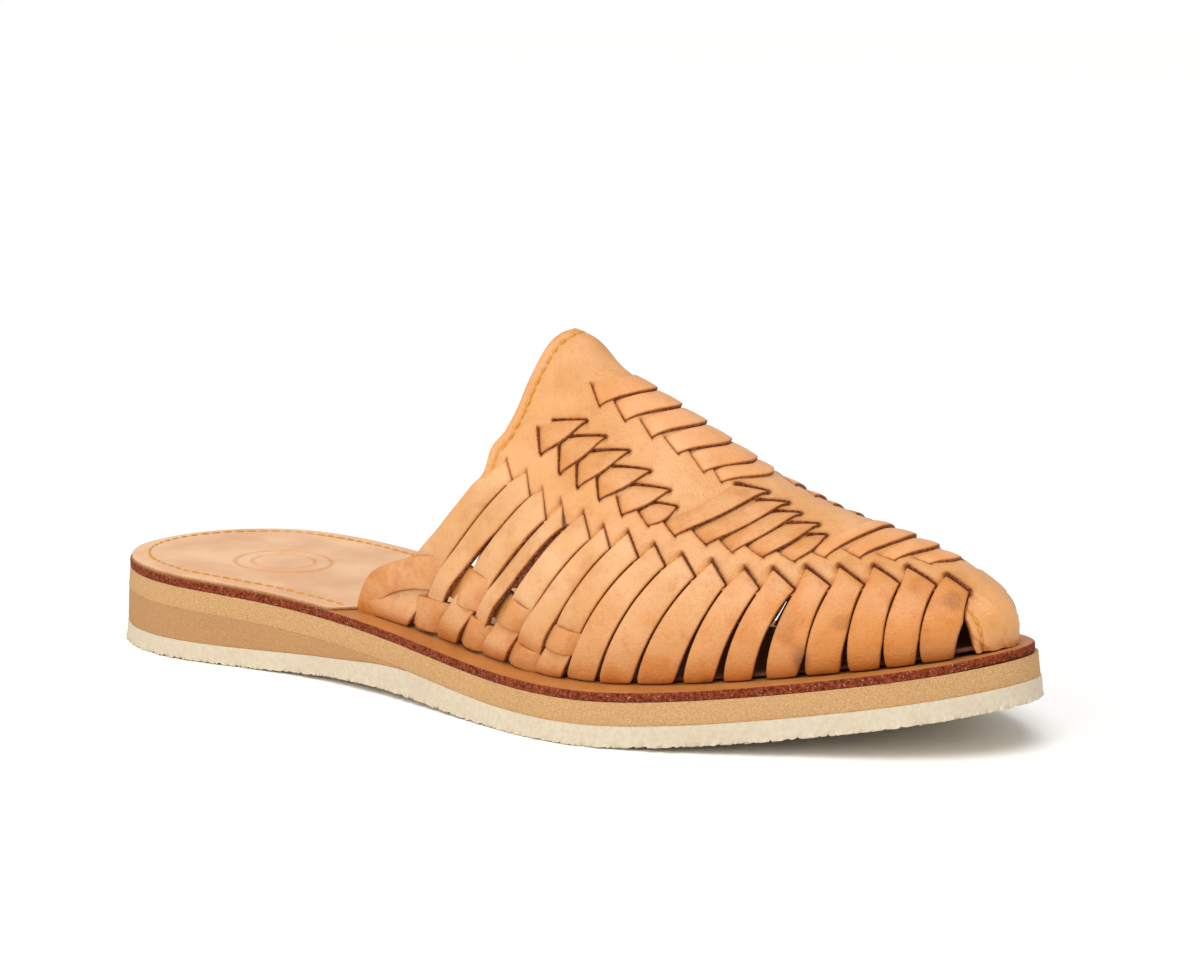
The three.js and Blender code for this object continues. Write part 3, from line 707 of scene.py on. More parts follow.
heel_side = station_at(np.linspace(90, 1.6, 240))
seam = np.concatenate([np.stack(edge_point(heel_side, -1, 5.2), -1),
                       np.stack(edge_point(heel_side[::-1], 1, 5.2), -1)])
seam = resample(np.c_[seam, insole_base(seam[:, 0]) + INSOLE_THICK], 0.8)
points, triangles = stitches(seam, np.tile([0.0, 0, 1], (len(seam), 1)), 3.4, 3.1, 0.3)
finish_piece("insole_stitching", points, triangles, thread, "insole_leather")

# ---- Vamp with tongue and toe tab ----
# One sheet of vegetable-tanned leather 1.6 mm thick over the top of the last, from the tongue to the toe, where
# its tab is tucked under. Its sides are cut into teeth, and it is slit so that the straps can pass through it.
VAMP_LIFT, VAMP_THICK = -0.35, 1.6
strap_slits = np.array([  # x and distance from the ridge, in mm, where each slit starts and ends: rear to front
    (140.0, 40.0, 143.0, 43.4), (146.8, 39.5, 149.8, 44.4), (153.4, 41.0, 156.9, 47.0), (160.1, 40.9, 164.2, 46.3),
    (168.3, 40.4, 172.9, 45.3), (175.7, 40.4, 179.7, 44.2), (183.0, 37.9, 188.0, 41.8), (190.7, 36.5, 195.0, 39.4),
    (197.7, 34.3, 202.4, 37.3), (204.5, 31.6, 209.5, 35.2), (212.0, 29.0, 216.8, 32.2), (217.7, 26.0, 224.2, 28.8),
    (224.2, 22.0, 231.1, 24.4), (230.7, 18.3, 237.9, 20.5), (237.5, 14.2, 245.2, 16.1), (244.2, 10.3, 252.8, 11.2),
    (253.1, 6.6, 259.8, 7.0)])
leaf_rows = np.array([  # each leaf: its rear slit's top and bottom, then its upper slit's start and end, at the tip
    (146.0, 28.6, 149.2, 33.8, 149.5, 24.3, 158.4, 19.4), (153.9, 29.6, 156.8, 35.4, 156.4, 25.2, 165.4, 20.3),
    (160.9, 31.0, 163.6, 36.0, 164.0, 25.4, 173.2, 20.0), (168.1, 31.2, 171.3, 35.6, 171.5, 25.8, 181.0, 21.2),
    (176.1, 32.6, 179.3, 35.6, 178.6, 27.0, 187.8, 22.4), (183.0, 32.3, 186.9, 33.9, 185.3, 27.9, 191.3, 25.0),
    (190.2, 30.6, 194.0, 32.0, 199.3, 9.2, 206.0, 5.6), (197.2, 28.0, 201.4, 29.3, 205.5, 9.8, 211.3, 5.6),
    (203.9, 26.2, 207.5, 27.4, 210.5, 10.2, 215.4, 7.2), (209.5, 24.0, 214.2, 24.9, 214.9, 11.7, 220.7, 8.4),
    (216.8, 21.7, 221.0, 22.5, 220.5, 12.9, 223.9, 11.0)])
cross_rows = np.array([  # each cross strap: the top and bottom of its slit, then where its edges cross the ridge
    (154.9, 10.3, 159.6, 14.1, 161.0, 167.8), (162.5, 10.6, 167.7, 13.7, 168.0, 175.4),
    (171.2, 10.8, 176.3, 13.3, 175.7, 182.8), (179.1, 10.9, 184.2, 12.6, 183.0, 190.4),
    (186.4, 10.0, 191.8, 12.5, 190.7, 197.5), (192.9, 9.7, 196.4, 11.8, 197.7, 202.6),
    (223.0, 17.9, 226.8, 18.2, 228.2, 232.4), (229.8, 13.6, 233.6, 14.3, 232.8, 239.3),
    (237.0, 10.9, 240.8, 10.7, 239.8, 245.9), (244.4, 7.2, 248.2, 6.7, 246.2, 252.2)])
collar_rows = np.array([  # share of the way up from the foot, and x there, along the collar's edge
    (0, 93.5), (0.05, 94.6), (0.12, 100), (0.19, 112), (0.29, 121), (0.39, 127.5), (0.5, 133.5), (0.69, 137.4),
    (0.85, 139.0), (0.95, 140.2), (1, 141.8)])
collar_x = natural_spline(collar_rows[:, 0], collar_rows[:, 1])
tongue_rows = np.array([  # the same for the tongue alone, whose lower corner swells out over the rear strap
    (0.46, 131.6), (0.49, 133.2), (0.53, 133.6), (0.57, 134.1), (0.61, 136.0), (0.65, 137.2), (0.7, 138.0),
    (0.77, 138.4), (0.85, 139.0), (0.95, 140.2), (1, 141.8)])
tongue_x = natural_spline(tongue_rows[:, 0], tongue_rows[:, 1])
inner_shift = np.array([  # x on the outer side and the matching x on the inner side: the inner straps run on further
    (0, 0), (225, 225), (235, 235.8), (250, 252.6), (260, 263.5), (264, 266.3), (266, 267.5), (270, 270)])


def on_side(x, side):
    """Where a place given for the outer side lies on that side."""
    return x if side > 0 else np.interp(x, *inner_shift.T)


def pull(x, side):
    """How much nearer the ridge things lie on the inner side, for a place given for the outer side."""
    return 1 - (0.38 * ease((np.asarray(x, float) - 257) / 5) if side < 0 else 0)


def run_at(x):
    """Distance along the ridge to x: with the distance from the ridge, it lays the skin out almost flat."""
    return np.interp(x, skin_x, ridge_run)


def flat(rows):
    """Rows of x and distance from the ridge, as points of the flat layout."""
    rows = np.asarray(rows, float)
    return np.stack([run_at(rows[..., 0]), rows[..., 1]], -1)


# Each slit from start to end, with its raised lip on the left of that way and the strap dipping on its right.
slits = np.concatenate([strap_slits, leaf_rows[:, [2, 3, 0, 1]], leaf_rows[:, 4:8], cross_rows[:, [2, 3, 0, 1]]])
slit_from, slit_to = flat(slits[:, 0:2]), flat(slits[:, 2:4])
slit_counts = [len(strap_slits), len(leaf_rows), len(leaf_rows), len(cross_rows)]
slit_lip = np.repeat([0.5, 0.45, 0.4, 0.25], slit_counts)
slit_dip = np.repeat([1.3, 0.9, 1.0, 0.8], slit_counts)
# How far back the raw edge shows: at the rear and the front straps, the leaves' rear slits, the short and the
# long leaves' upper slits, and the cross straps.
slit_raw = np.repeat([0.15, 0.5, 0.15, 0.2, 0.45, 0.12], [9, 8, 11, 6, 5, 10])
tuck_from, tuck_to = flat(strap_slits[:-1, 2:4]), flat(strap_slits[1:, 0:2])
edge_from, edge_to = flat(leaf_rows[:, 2:4]), flat(leaf_rows[:, 6:8])
STEP = 0.08  # half the width of the step from a slit's lip to its dip
HEM = 3.0  # from the tongue's edge to its stitches


def along_and_off(p, start, end):
    """For points p and one segment: distance past its start, its length, and distance to its left."""
    way = end - start
    size = np.linalg.norm(way)
    way = way / size
    q = p - start
    return q @ way, size, q[:, 0] * way[1] - q[:, 1] * way[0]


def tongue_edge(count=90):
    """The tongue's free edge from the rear strap up to the ridge, as (x, distance from the ridge)."""
    climb = np.linspace(0.46, 1, count)
    x = tongue_x(climb)
    return np.stack([x, girth(x, 1) * (1 - climb)], -1)


# The toe tab's free edge and the seam beside it, as x and distance from the ridge.
tab_edge = np.array([(259.9, 7.05), (260.4, 9.6), (260.8, 12.3), (261.5, 13.9), (262.8, 15.0), (263.7, 16.8),
                     (264.1, 19.6)])
tab_seam = np.array([(260.7, 11.2), (261.6, 11.6), (263.0, 12.0), (264.2, 12.6), (265.0, 13.8), (265.4, 15.8),
                     (265.6, 19.6)])


def distance_to(p, path):
    """Distance from each point to a path, in the flat layout."""
    best = np.full(len(p), 1e9)
    for start, end in zip(path[:-1], path[1:]):
        s, size, off = along_and_off(p, start, end)
        beyond = np.maximum(np.maximum(-s, s - size), 0)
        best = np.minimum(best, np.hypot(off, beyond))
    return best


def vamp_height(p):
    """Height of the vamp's grain side over the skin at flat points p: a base, plus a lip on one side and a dip on
    the other side of each slit, a fall under each strap's rear edge, and a rolled hem along the tongue.
    The tongue's top also bulges a little on its inner side. Gives how raw the leather is too, and the shade painted
    along slits, strap edges, leaf edges, hem, seam and tab edge."""
    outer_x = np.interp(np.interp(p[:, 0], ridge_run, skin_x), inner_shift[:, 1], inner_shift[:, 0])
    q = np.where(p[:, 1:] < 0, np.stack([run_at(outer_x), -p[:, 1] / pull(outer_x, -1)], -1), p)
    height, dark, raw = np.full(len(q), VAMP_LIFT), np.zeros(len(q)), np.zeros(len(q))
    for start, end, lip, dip, bare in zip(slit_from, slit_to, slit_lip, slit_dip, slit_raw):
        s, size, off = along_and_off(q, start, end)
        reach = ease((s + 1.2) / 1.4) * ease((size + 1.2 - s) / 1.4)
        side = np.clip(off / STEP, -1, 1)
        up = lip * fade(off, 1.7)
        down = -dip * fade(-off, 1.3)
        height += reach * (up * (side + 1) / 2 + down * (1 - side) / 2)
        # Shade painted dark in each slit.
        dark = np.maximum(dark, reach * 0.6 * fade(np.abs(off), 0.5))
        raw = np.maximum(raw, reach * np.where(off < 1.5 * STEP, fade(-off - STEP, 0.8), fade(off - STEP, bare)))
    for start, end in zip(tuck_from, tuck_to):
        s, size, off = along_and_off(q, start, end)
        reach = ease((s + 0.6) / 1.2) * ease((size + 0.6 - s) / 1.2)
        height -= reach * 0.45 * fade(off, 0.8)
        # Shadow painted on the tooth under each strap's rear edge.
        dark = np.maximum(dark, reach * 0.6 * fade(np.abs(off), 0.3))
    for start, end in zip(edge_from, edge_to):
        s, size, off = along_and_off(q, start, end)
        reach = ease((s + 0.5) / 1.5) * ease((size - s) / 2)
        # Shade painted in the groove under each leaf's lower edge, with some burnish.
        dark = np.maximum(dark, reach * 0.8 * fade(np.abs(off - 0.8), 0.8))
    height = np.clip(height, -1.7, 0.45)
    hem = distance_to(q, flat(tongue_edge()))
    height += 0.25 * (1 - ease((hem - 2.4) / 0.6)) - 0.18 * bell(hem - HEM, 0.35)
    height -= 0.8 * np.maximum(1 - hem / 0.9, 0) ** 2
    tab = distance_to(q, flat(tab_edge[1:]))
    height -= 0.15 * bell(tab - 2.2, 0.35) + 0.5 * np.maximum(1 - tab / 0.8, 0) ** 2
    height += 2.7 * np.exp(-(((p[:, 1] + 4) / 9) ** 2) - ((p[:, 0] - run_at(146.5)) / 7.5) ** 2)
    seam = distance_to(q, flat(tab_seam))
    # Shade painted dark along the tab's edge and in the groove of its seam.
    dark = np.maximum(dark, np.maximum(0.45 * fade(tab, 0.35), 0.75 * bell(seam, 0.35)))
    height -= 0.12 * bell(seam, 0.5)
    # Shade painted dark in the hem's stitch groove and at the tongue's rolled edge.
    dark = np.maximum(dark, 0.6 * bell(hem - HEM, 0.4) + 0.3 * fade(hem, 0.4))
    return height, dark, raw


def vamp_outline():
    """The sheet's edge on the outer side, from the ridge at the tongue down the collar, along a hidden margin
    under the straps, down the toe tab and to the tip, in flat layout."""
    margin = np.c_[strap_slits[:-1, 2] + 0.2, strap_slits[:-1, 3] + 1.7]
    front = np.array([(256.5, 10.4), (259.4, 7.6)])
    foot_x = np.linspace(264.2, skin_x[-1], 24)
    foot = np.c_[foot_x, girth(foot_x, 1)]
    return resample(flat(np.concatenate([tongue_edge()[::-1], margin, front, tab_edge, foot])), 0.55)


def inside(p, polygon):
    """Whether each point lies in the polygon, by counting the edges that a ray to the right crosses."""
    a, b = polygon, np.roll(polygon, -1, axis=0)
    hit = np.zeros(len(p), bool)
    for (x0, y0), (x1, y1) in zip(a, b):
        if y0 != y1:
            crosses = (y0 > p[:, 1]) != (y1 > p[:, 1])
            hit ^= crosses & (p[:, 0] < (x1 - x0) * (p[:, 1] - y0) / (y1 - y0) + x0)
    return hit


def hexagonal(low, high, pitch):
    """Points of a hexagonal grid over a box."""
    x, y = np.meshgrid(np.arange(low[0], high[0], pitch), np.arange(low[1], high[1], pitch * 0.866))
    x = x + 0.5 * pitch * (np.arange(len(x)) % 2)[:, None]
    return np.stack([x.ravel(), y.ravel()], -1)


def vamp_mesh():
    """The sheet: points of its flat layout on a hexagonal grid, close together near the slits, with the two
    lines of each slit's step among them, joined by constrained triangles and then laid on the skin."""
    half = vamp_outline()
    mirror = half[::-1] * [1, -1]
    outer_x = np.interp(mirror[:, 0], ridge_run, skin_x)
    mirror = np.stack([run_at(on_side(outer_x, -1)), mirror[:, 1] * pull(outer_x, -1)], -1)
    limit = girth(np.interp(mirror[:, 0], ridge_run, skin_x), -1)
    mirror[:, 1] = np.where(half[::-1, 1] > 0.999 * girth(np.interp(half[::-1, 0], ridge_run, skin_x), 1), -limit,
                            mirror[:, 1])
    rim = np.concatenate([half, mirror[1:-1]])
    lines = []
    for sign in (1, -1):
        for start, end in zip(slit_from, slit_to):
            way = (end - start) / np.linalg.norm(end - start)
            left = np.array([way[1], -way[0]])
            line = resample([start - 0.9 * way, end + 0.9 * way], 0.3)
            for off in (STEP, -STEP):
                path = line + off * left
                x = np.interp(path[:, 0], ridge_run, skin_x)
                lines.append(np.stack([run_at(on_side(x, sign)), sign * path[:, 1] * pull(x, sign)], -1))
    low, high = rim.min(0), rim.max(0)
    coarse, fine = hexagonal(low, high, 1.0), hexagonal(low, high, 0.42)
    mids = np.concatenate(lines)

    def gap(p, others):
        """Distance from each point to the nearest of the others, or 9 where none is in the cells about it."""
        cell = np.round(others / 2.0).astype(int)
        near = {}
        for key, q in zip(map(tuple, cell), others):
            near.setdefault(key, []).append(q)
        out = np.full(len(p), 9.0)
        keys = np.round(p / 2.0).astype(int)
        order = np.lexsort(keys.T)
        same = np.flatnonzero(np.any(np.diff(keys[order], axis=0), axis=1)) + 1
        for group in np.split(order, same):
            kx, ky = keys[group[0]]
            found = [q for i in (-1, 0, 1) for j in (-1, 0, 1) for q in near.get((kx + i, ky + j), [])]
            if found:
                d = np.linalg.norm(p[group][:, None] - np.array(found)[None], axis=2)
                out[group] = d.min(1)
        return out

    near_fine, near_coarse = gap(fine, mids), gap(coarse, mids)
    rim_fine, rim_coarse = gap(fine, rim), gap(coarse, rim)
    fine = fine[(near_fine > 0.24) & ((near_fine < 1.7) | (rim_fine < 1.7)) & (rim_fine > 0.3)]
    coarse = coarse[(near_coarse > 1.9) & (rim_coarse > 1.9)]
    field = np.concatenate([fine, coarse])
    field = field[inside(field, rim)]
    inner_lines = [line[inside(line, rim) & (gap(line, rim) > 0.25)] for line in lines]
    flat_points, edges = [tuple(q) for q in rim], []
    for line in inner_lines:
        first = len(flat_points)
        flat_points += [tuple(q) for q in line]
        breaks = np.linalg.norm(np.diff(line, axis=0), axis=1) < 0.6
        edges += [(first + k, first + k + 1) for k in range(len(line) - 1) if breaks[k]]
    flat_points += [tuple(q) for q in field]
    made = geometry.delaunay_2d_cdt(flat_points, edges, [list(range(len(rim)))], 1, 1e-5)
    layout = np.array([tuple(v) for v in made[0]])
    triangles = np.array([f for f in made[2] if len(f) == 3])
    x = np.interp(layout[:, 0], ridge_run, skin_x)
    side = np.where(layout[:, 1] >= 0, 1, -1)
    share = np.clip(layout[:, 1] / girth(x, side), -1, 1)
    height, dark, raw = vamp_height(layout)
    height = height + 0.12 * noise(np.c_[layout, 0 * x], 11) * ease(np.abs(height - VAMP_LIFT) < 2)
    outer = skin(x, share, height)
    inner = skin(x, share, height - VAMP_THICK)
    sides = np.sort(np.concatenate([triangles[:, [0, 1]], triangles[:, [1, 2]], triangles[:, [2, 0]]]), axis=1)
    keys, times = np.unique(sides, axis=0, return_counts=True)
    border = {tuple(k) for k in keys[times == 1]}
    turned = [(a, b) for t in triangles for a, b in ((t[0], t[1]), (t[1], t[2]), (t[2], t[0]))
              if (min(a, b), max(a, b)) in border]
    ring = np.array(turned)
    count = len(layout)
    wall = np.concatenate([np.stack([ring[:, 1], ring[:, 0], ring[:, 0] + count], -1),
                           np.stack([ring[:, 1], ring[:, 0] + count, ring[:, 1] + count], -1)])
    triangles = np.concatenate([triangles, triangles[:, ::-1] + count, wall])
    raw_inner = np.full(count, 0.8)
    points = np.concatenate([outer, inner])
    return points, outward(points, triangles), np.concatenate([raw, raw_inner]), np.concatenate([dark, 0 * dark])


honey = vegetable_tan("vegetable_tanned_honey", "#cf9154", "#dda36c", "#a96626")
points, triangles, cut, shade = vamp_mesh()
vamp = finish_piece("vamp_with_tongue_and_toe_tab", points, triangles, honey, "upper_leather", 38, cut=cut, shade=shade)
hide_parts("upper")

hem_line = resample(flat(tongue_edge()[3:]), 0.5)
way = np.gradient(hem_line, axis=0)
way /= np.linalg.norm(way, axis=1, keepdims=True)
hem_line = hem_line + HEM * np.c_[np.abs(way[:, 1]), -way[:, 0] * np.sign(way[:, 1])]
hem_line = hem_line[hem_line[:, 1] > 0.3]


def on_vamp(line, side):
    """A line of the flat layout laid on the vamp on one side of the ridge, with the way up at each point."""
    outer_x = np.interp(line[:, 0], ridge_run, skin_x)
    x, c = on_side(outer_x, side), side * line[:, 1] * pull(outer_x, side)
    share = np.clip(c / girth(x, side), -1, 1)
    height = vamp_height(np.stack([run_at(x), c], -1))[0]
    low = skin(x, share, height)
    return low, skin(x, share, height + 1) - low


seams = [stitches(*on_vamp(resample(flat(tab_seam), 0.5), side), 2.6, 2.4, 0.3, 0.26) for side in (1, -1)]
both_sides = [on_vamp(hem_line, 1), on_vamp(hem_line, -1)]
hem_path = np.concatenate([both_sides[0][0], both_sides[1][0][::-1]])
hem_up = np.concatenate([both_sides[0][1], both_sides[1][1][::-1]])
seams.append(stitches(hem_path, hem_up, 3.1, 2.9, 0.36, 0.28))


def together(parts):
    """Several meshes as one: points and triangles, and then any values given per point."""
    shift = np.cumsum([0] + [len(part[0]) for part in parts])
    rest = [np.concatenate([part[k] for part in parts]) for k in range(2, len(parts[0]))]
    return [np.concatenate([part[0] for part in parts]),
            np.concatenate([part[1] + s for part, s in zip(parts, shift)]), *rest]


points, triangles = together(seams)
finish_piece("upper_stitching", points, triangles, thread, "upper_leather")

# ---- Side straps ----
# Seventeen straps a side, most of them 6 to 8 mm wide square across and all 1.5 mm thick, cut from the same hide
# with raw edges. Each is lasted under at its foot, runs up the wall and dives into its slit under the vamp's tooth.
STRAP_THICK = 1.5
strap_feet = np.array([  # x of each rear edge at the foot, then of the gap in front: its width there, how far up
    (95.5, 1.0, 0.20, 1), (112.0, 2.8, 0.72, 0.6), (120.6, 0.7, 0.40, 1), (129.2, 2.0, 1.05, 0.45),  # it runs, power
    (137.7, 0.5, 0.5, 1), (147.6, 0.6, 0.5, 1), (158.3, 0.6, 0.5, 1), (168.9, 0.9, 0.8, 2), (180.0, 1.0, 0.8, 2),
    (190.7, 1.8, 0.85, 2), (202.0, 1.9, 0.9, 1.5), (211.0, 2.7, 0.95, 0.8), (220.2, 1.4, 0.25, 1),
    (228.4, 1.6, 0.45, 1), (237.6, 1.0, 0.3, 1), (245.6, 1.0, 0.3, 1), (253.4, 0, 1, 1), (260.2, 0, 1, 1)])
ACROSS = np.array([0, 0.02, 0.05, 0.1, 0.19, 0.34, 0.5, 0.66, 0.81, 0.9, 0.95, 0.98, 1])
UNDER = np.array([1, 0.75, 0.5, 0.25, 0])


def ribbon(left, right, lift, crown=0.35, lean_over=0.0, thick=STRAP_THICK, round_edge=0.35, seed=0.0, tone=0.0):
    """A strip of leather on the last. left and right are rows of (x, girth share) along its two edges and lift is
    its height over the skin; across it the height falls by crown (2w - 1)^2, turns down at each edge on a quarter
    circle, and tips by lean_over from edge to edge. Gives points, triangles, rawness and shade."""
    left, right, lift = np.asarray(left, float), np.asarray(right, float), np.asarray(lift, float)
    lane = left[:, None] * (1 - ACROSS[None, :, None]) + right[:, None] * ACROSS[None, :, None]
    flat_skin = skin(lane[..., 0], lane[..., 1], 0 * lane[..., 0])
    width = np.linalg.norm(flat_skin[:, 0] - flat_skin[:, -1], axis=1)[:, None]
    inset = np.minimum(ACROSS, 1 - ACROSS) * width
    drop = round_edge - np.sqrt(np.maximum(round_edge**2 - np.maximum(round_edge - inset, 0) ** 2, 0))
    height = lift[:, None] - drop - crown * (2 * ACROSS - 1) ** 2 + lean_over * (ACROSS - 0.5)
    height = height + 0.1 * noise(flat_skin, 7, seed)
    top = skin(lane[..., 0], lane[..., 1], height)
    under = left[:, None] * (1 - UNDER[None, :, None]) + right[:, None] * UNDER[None, :, None]
    low = skin(under[..., 0], under[..., 1], lift[:, None] - thick - crown + lean_over * (UNDER - 0.5))
    right_wall = 0.5 * (top[:, -1:] + low[:, :1]) + 0.12 * noise(top[:, -1:], 0.7, seed)[..., None] * [1, 1, 0.3]
    left_wall = 0.5 * (top[:, :1] + low[:, -1:]) + 0.12 * noise(top[:, :1], 0.7, seed)[..., None] * [1, 1, 0.3]
    ring = np.concatenate([top, right_wall, low, left_wall], 1)
    rows, columns = ring.shape[:2]
    raw = np.zeros((rows, columns))
    raw[:, 0], raw[:, len(ACROSS) - 2], raw[:, len(ACROSS) - 1] = 0.5, 0.3, 0.85
    raw[:, len(ACROSS) :] = 1.0
    dark = np.zeros((rows, columns))
    # Shade painted along both edges for the gaps between strips, stronger on the front edge away from the light.
    painted_edge_shade = np.where(ACROSS < 0.5, 0.3 * fade(inset, 0.3), 0.45 * fade(inset, 0.4) + 0.1 * fade(inset, 1.5))
    blotch = np.clip(noise(flat_skin, 4.5, seed + 0.4) - 0.1, 0, 0.5)
    tone = np.broadcast_to(np.asarray(tone, float).reshape(-1, 1), painted_edge_shade.shape)
    dark[:, : len(ACROSS)] = (np.maximum(painted_edge_shade, tone) + 0.3 * np.minimum(painted_edge_shade, tone)
                              + blotch * np.minimum(tone, 0.5))
    points = ring.reshape(-1, 3)
    triangles = grid_triangles(rows, columns, wrap=True)
    ends = []
    for row in (0, rows - 1):
        around = row * columns + np.arange(columns)
        nxt = np.roll(around, -1)
        hub = np.full(columns, rows * columns + (row > 0))
        ends.append(np.stack([nxt, around, hub] if row == 0 else [around, nxt, hub], -1))
    hubs = np.stack([ring[0].mean(0), ring[-1].mean(0)])
    points = np.concatenate([points, hubs])
    triangles = outward(points, np.concatenate([triangles, *ends]))
    return [points, triangles, np.r_[raw.ravel(), 1, 1], np.r_[dark.ravel(), 0, 0]]


def shares(rows, side):
    """Rows of (x, distance from the ridge) as (x, girth share) on one side."""
    rows = np.asarray(rows, float)
    return np.stack([rows[:, 0], side * rows[:, 1] / girth(rows[:, 0], side)], -1)


def soften(path, times=2):
    """Rounds a path's corners by averaging each point with its neighbours, ends kept."""
    path = path.copy()
    for _ in range(times):
        path[1:-1] = 0.25 * path[:-2] + 0.5 * path[1:-1] + 0.25 * path[2:]
    return path


lace_top = np.array([  # x and height up from the foot of the upper lace's upper edge, rear to front
    (92.6, -0.6), (94.2, 4.2), (98.2, 10.8), (105.1, 15.2), (112.7, 18.5), (121.6, 20.8), (131.7, 20.8),
    (139.4, 19.7), (147.8, 17.6), (156.0, 15.3), (164.0, 13.6), (174.0, 12.0), (186.0, 11.0)])
lace_low = np.array([
    (99.3, -0.6), (100.0, 2.4), (101.6, 4.3), (106.5, 7.8), (113.0, 10.3), (118.0, 11.3), (126.3, 11.1),
    (133.8, 10.4), (142.4, 9.9), (151.3, 8.8), (160.0, 7.3), (170.0, 6.0), (182.0, 5.5)])
foot_lace_top = np.array([(101.0, 4.0), (107.0, 7.6), (114.5, 9.3), (124.0, 10.0), (134.0, 9.4), (141.8, 8.4),
                          (150.1, 7.0), (159.6, 5.0), (168.0, 3.0)])
foot_lace_low = np.array([(104.0, -0.4), (108.0, 0.3), (112.7, 0.7), (119.2, 0.8), (129.9, 0.6), (137.6, 0.4),
                          (146.0, 0.2), (158.4, -0.4), (166.0, -1.0)])
LACED, TIPPED = 7, 3  # straps that are laced, and the one whose raw front edge stands up


def lace_centre(x):
    """Heights up the wall of the middles of the upper lace and of the foot lace at x."""
    upper = 0.5 * (np.interp(x, *lace_top.T) + np.interp(x, *lace_low.T))
    lower = 0.5 * (np.interp(x, *foot_lace_top.T) + np.interp(x, *foot_lace_low.T))
    return upper, lower


def rear_edge(k, side):
    """Strap k's rear edge as (x, distance from the ridge): the foot, the tip of the tooth behind it, its slit."""
    start = strap_slits[k, 0:2]
    foot = (on_side(strap_feet[k, 0], side), float(girth(on_side(strap_feet[k, 0], side), side)))
    tip = strap_slits[k - 1, 2:4] + [0.3, -0.1]
    return np.array([foot] + [(on_side(q[0], side), q[1] * pull(q[0], side)) for q in (tip, start)])


def side_strap(k, side):
    """Strap k, from under its tooth down to the runner. Its rear edge is straight in (x, girth share) and passes
    the tip of the tooth behind it; its front edge follows the next strap's rear edge less the gap, which narrows
    with the height as a power. It rises over one lace and dips under the other."""
    start, end = strap_slits[k, 0:2], strap_slits[k, 2:4]
    way = (end - start) / np.linalg.norm(end - start)
    under = np.array([way[1], -way[0]])
    start, end = (np.array([on_side(q[0], side), q[1] * pull(q[0], side)]) for q in (start, end))
    t = np.r_[np.linspace(0, 0.84, 46), np.linspace(0.85, 0.93, 22), np.linspace(0.94, 1, 7)]
    if k == 0:  # the rear strap's edge is the collar's
        climb = np.array([0.0, 0.05, 0.12, 0.19, 0.29, 0.39, 0.46])
        x = collar_x(climb) + np.array([2.0, 1.6, 0.4, 0.2, 0, 0, 0])
        rear = np.array([(a, girth(a, side) * (1 - c)) for a, c in zip(x, climb)])
        rear = np.concatenate([rear, [start]])
        rear_at = np.r_[0, 0.05, 0.14, 0.24, 0.4, 0.58, 0.72, 0.9, 0.95, 1]
    else:
        rear = rear_edge(k, side)
        rear_at = np.array([0, 0.8, 0.9, 0.95, 1])
    rear_share = shares(np.concatenate([rear, [start + 1.6 * under, start + 3.4 * under]]), side)
    left = np.stack([np.interp(t, rear_at, rear_share[:, c]) for c in (0, 1)], -1)
    fore_share = shares(np.array([end + [-0.1, 0.1], end + 1.6 * under, end + 3.4 * under]), side)
    if k < len(strap_slits) - 1:
        fore_share = np.concatenate([shares(rear_edge(k + 1, side)[:1], side), fore_share])
    else:
        beside_tab = [(on_side(260.2, side), 99), (on_side(261.3, side), 15.5 * pull(261.3, side))]
        fore_share = np.concatenate([shares(beside_tab, side), fore_share])
        fore_share[0, 1] = side
    fore_at = np.array([0, 0.9, 0.95, 1]) if len(fore_share) == 4 else np.array([0, 0.4, 0.9, 0.95, 1])
    right = np.stack([np.interp(t, fore_at, fore_share[:, c]) for c in (0, 1)], -1)
    width, top, power = strap_feet[k, 1:]
    opening = width * np.clip(1 - t / (0.9 * top), 0, 1) ** power + 0.04 * (t < 0.88)
    right[:, 0] -= opening
    left, right = soften(left, 3), soften(right, 2)
    middle = 0.5 * (left + right)
    up = girth(middle[:, 0], side) * (1 - np.abs(middle[:, 1]))
    slit_gap = np.interp(0.9, t, up) - up
    lift = 0.12 - 0.85 * fade(slit_gap, 2.0)
    lift = np.where(t > 0.9, -0.73 - 1.6 * ease((t - 0.9) / 0.08), lift)
    lift = lift - 0.5 * fade(up, 1.0)
    if k < LACED:
        over = 1 if k % 2 else -1
        upper, lower = lace_centre(middle[:, 0])
        lift = lift + over * 0.85 * bell(up - upper, 4.4) - over * 0.85 * bell(up - lower, 3.6)
    pinch = 0.04 * fade(up, 1.2)[:, None]
    left, right = left + pinch * (right - left), right - pinch * (right - left)
    # Warmer towards the front straps and towards the foot.
    tone = np.interp(k, [0, 6, 9, 12, 16], [0.04, 0.06, 0.16, 0.28, 0.36]) + 0.28 * fade(up, 12)
    # Shade painted dark where the strap dives under its slit.
    tone = np.maximum(tone, 0.95 * fade(slit_gap - 0.15, 0.3))
    return ribbon(left, right, lift, 0.24, 1.5 if k == TIPPED else 0.05, seed=0.13 * k + 5 * side, tone=tone)


def strip_piece(name, ribbons, leather):
    """Several strips of leather finished as one piece."""
    points, triangles, cut, shade = together(ribbons)
    finish_piece(name, points, triangles, leather, "upper_leather", 50, cut=cut, shade=shade)


strap_leather = vegetable_tan("vegetable_tanned_straps", "#d29c65", "#e3b484", "#ab6126")
for name, side in (("side_straps_outer", 1), ("side_straps_inner", -1)):
    strip_piece(name, [side_strap(k, side) for k in range(len(strap_slits))], strap_leather)

# ---- Edge laces ----
# Two flat laces woven through the feet of the seven rear straps on each side. The upper one ends in a broad
# turn that wraps over the rear strap down to the runner; the lower one runs along the foot.


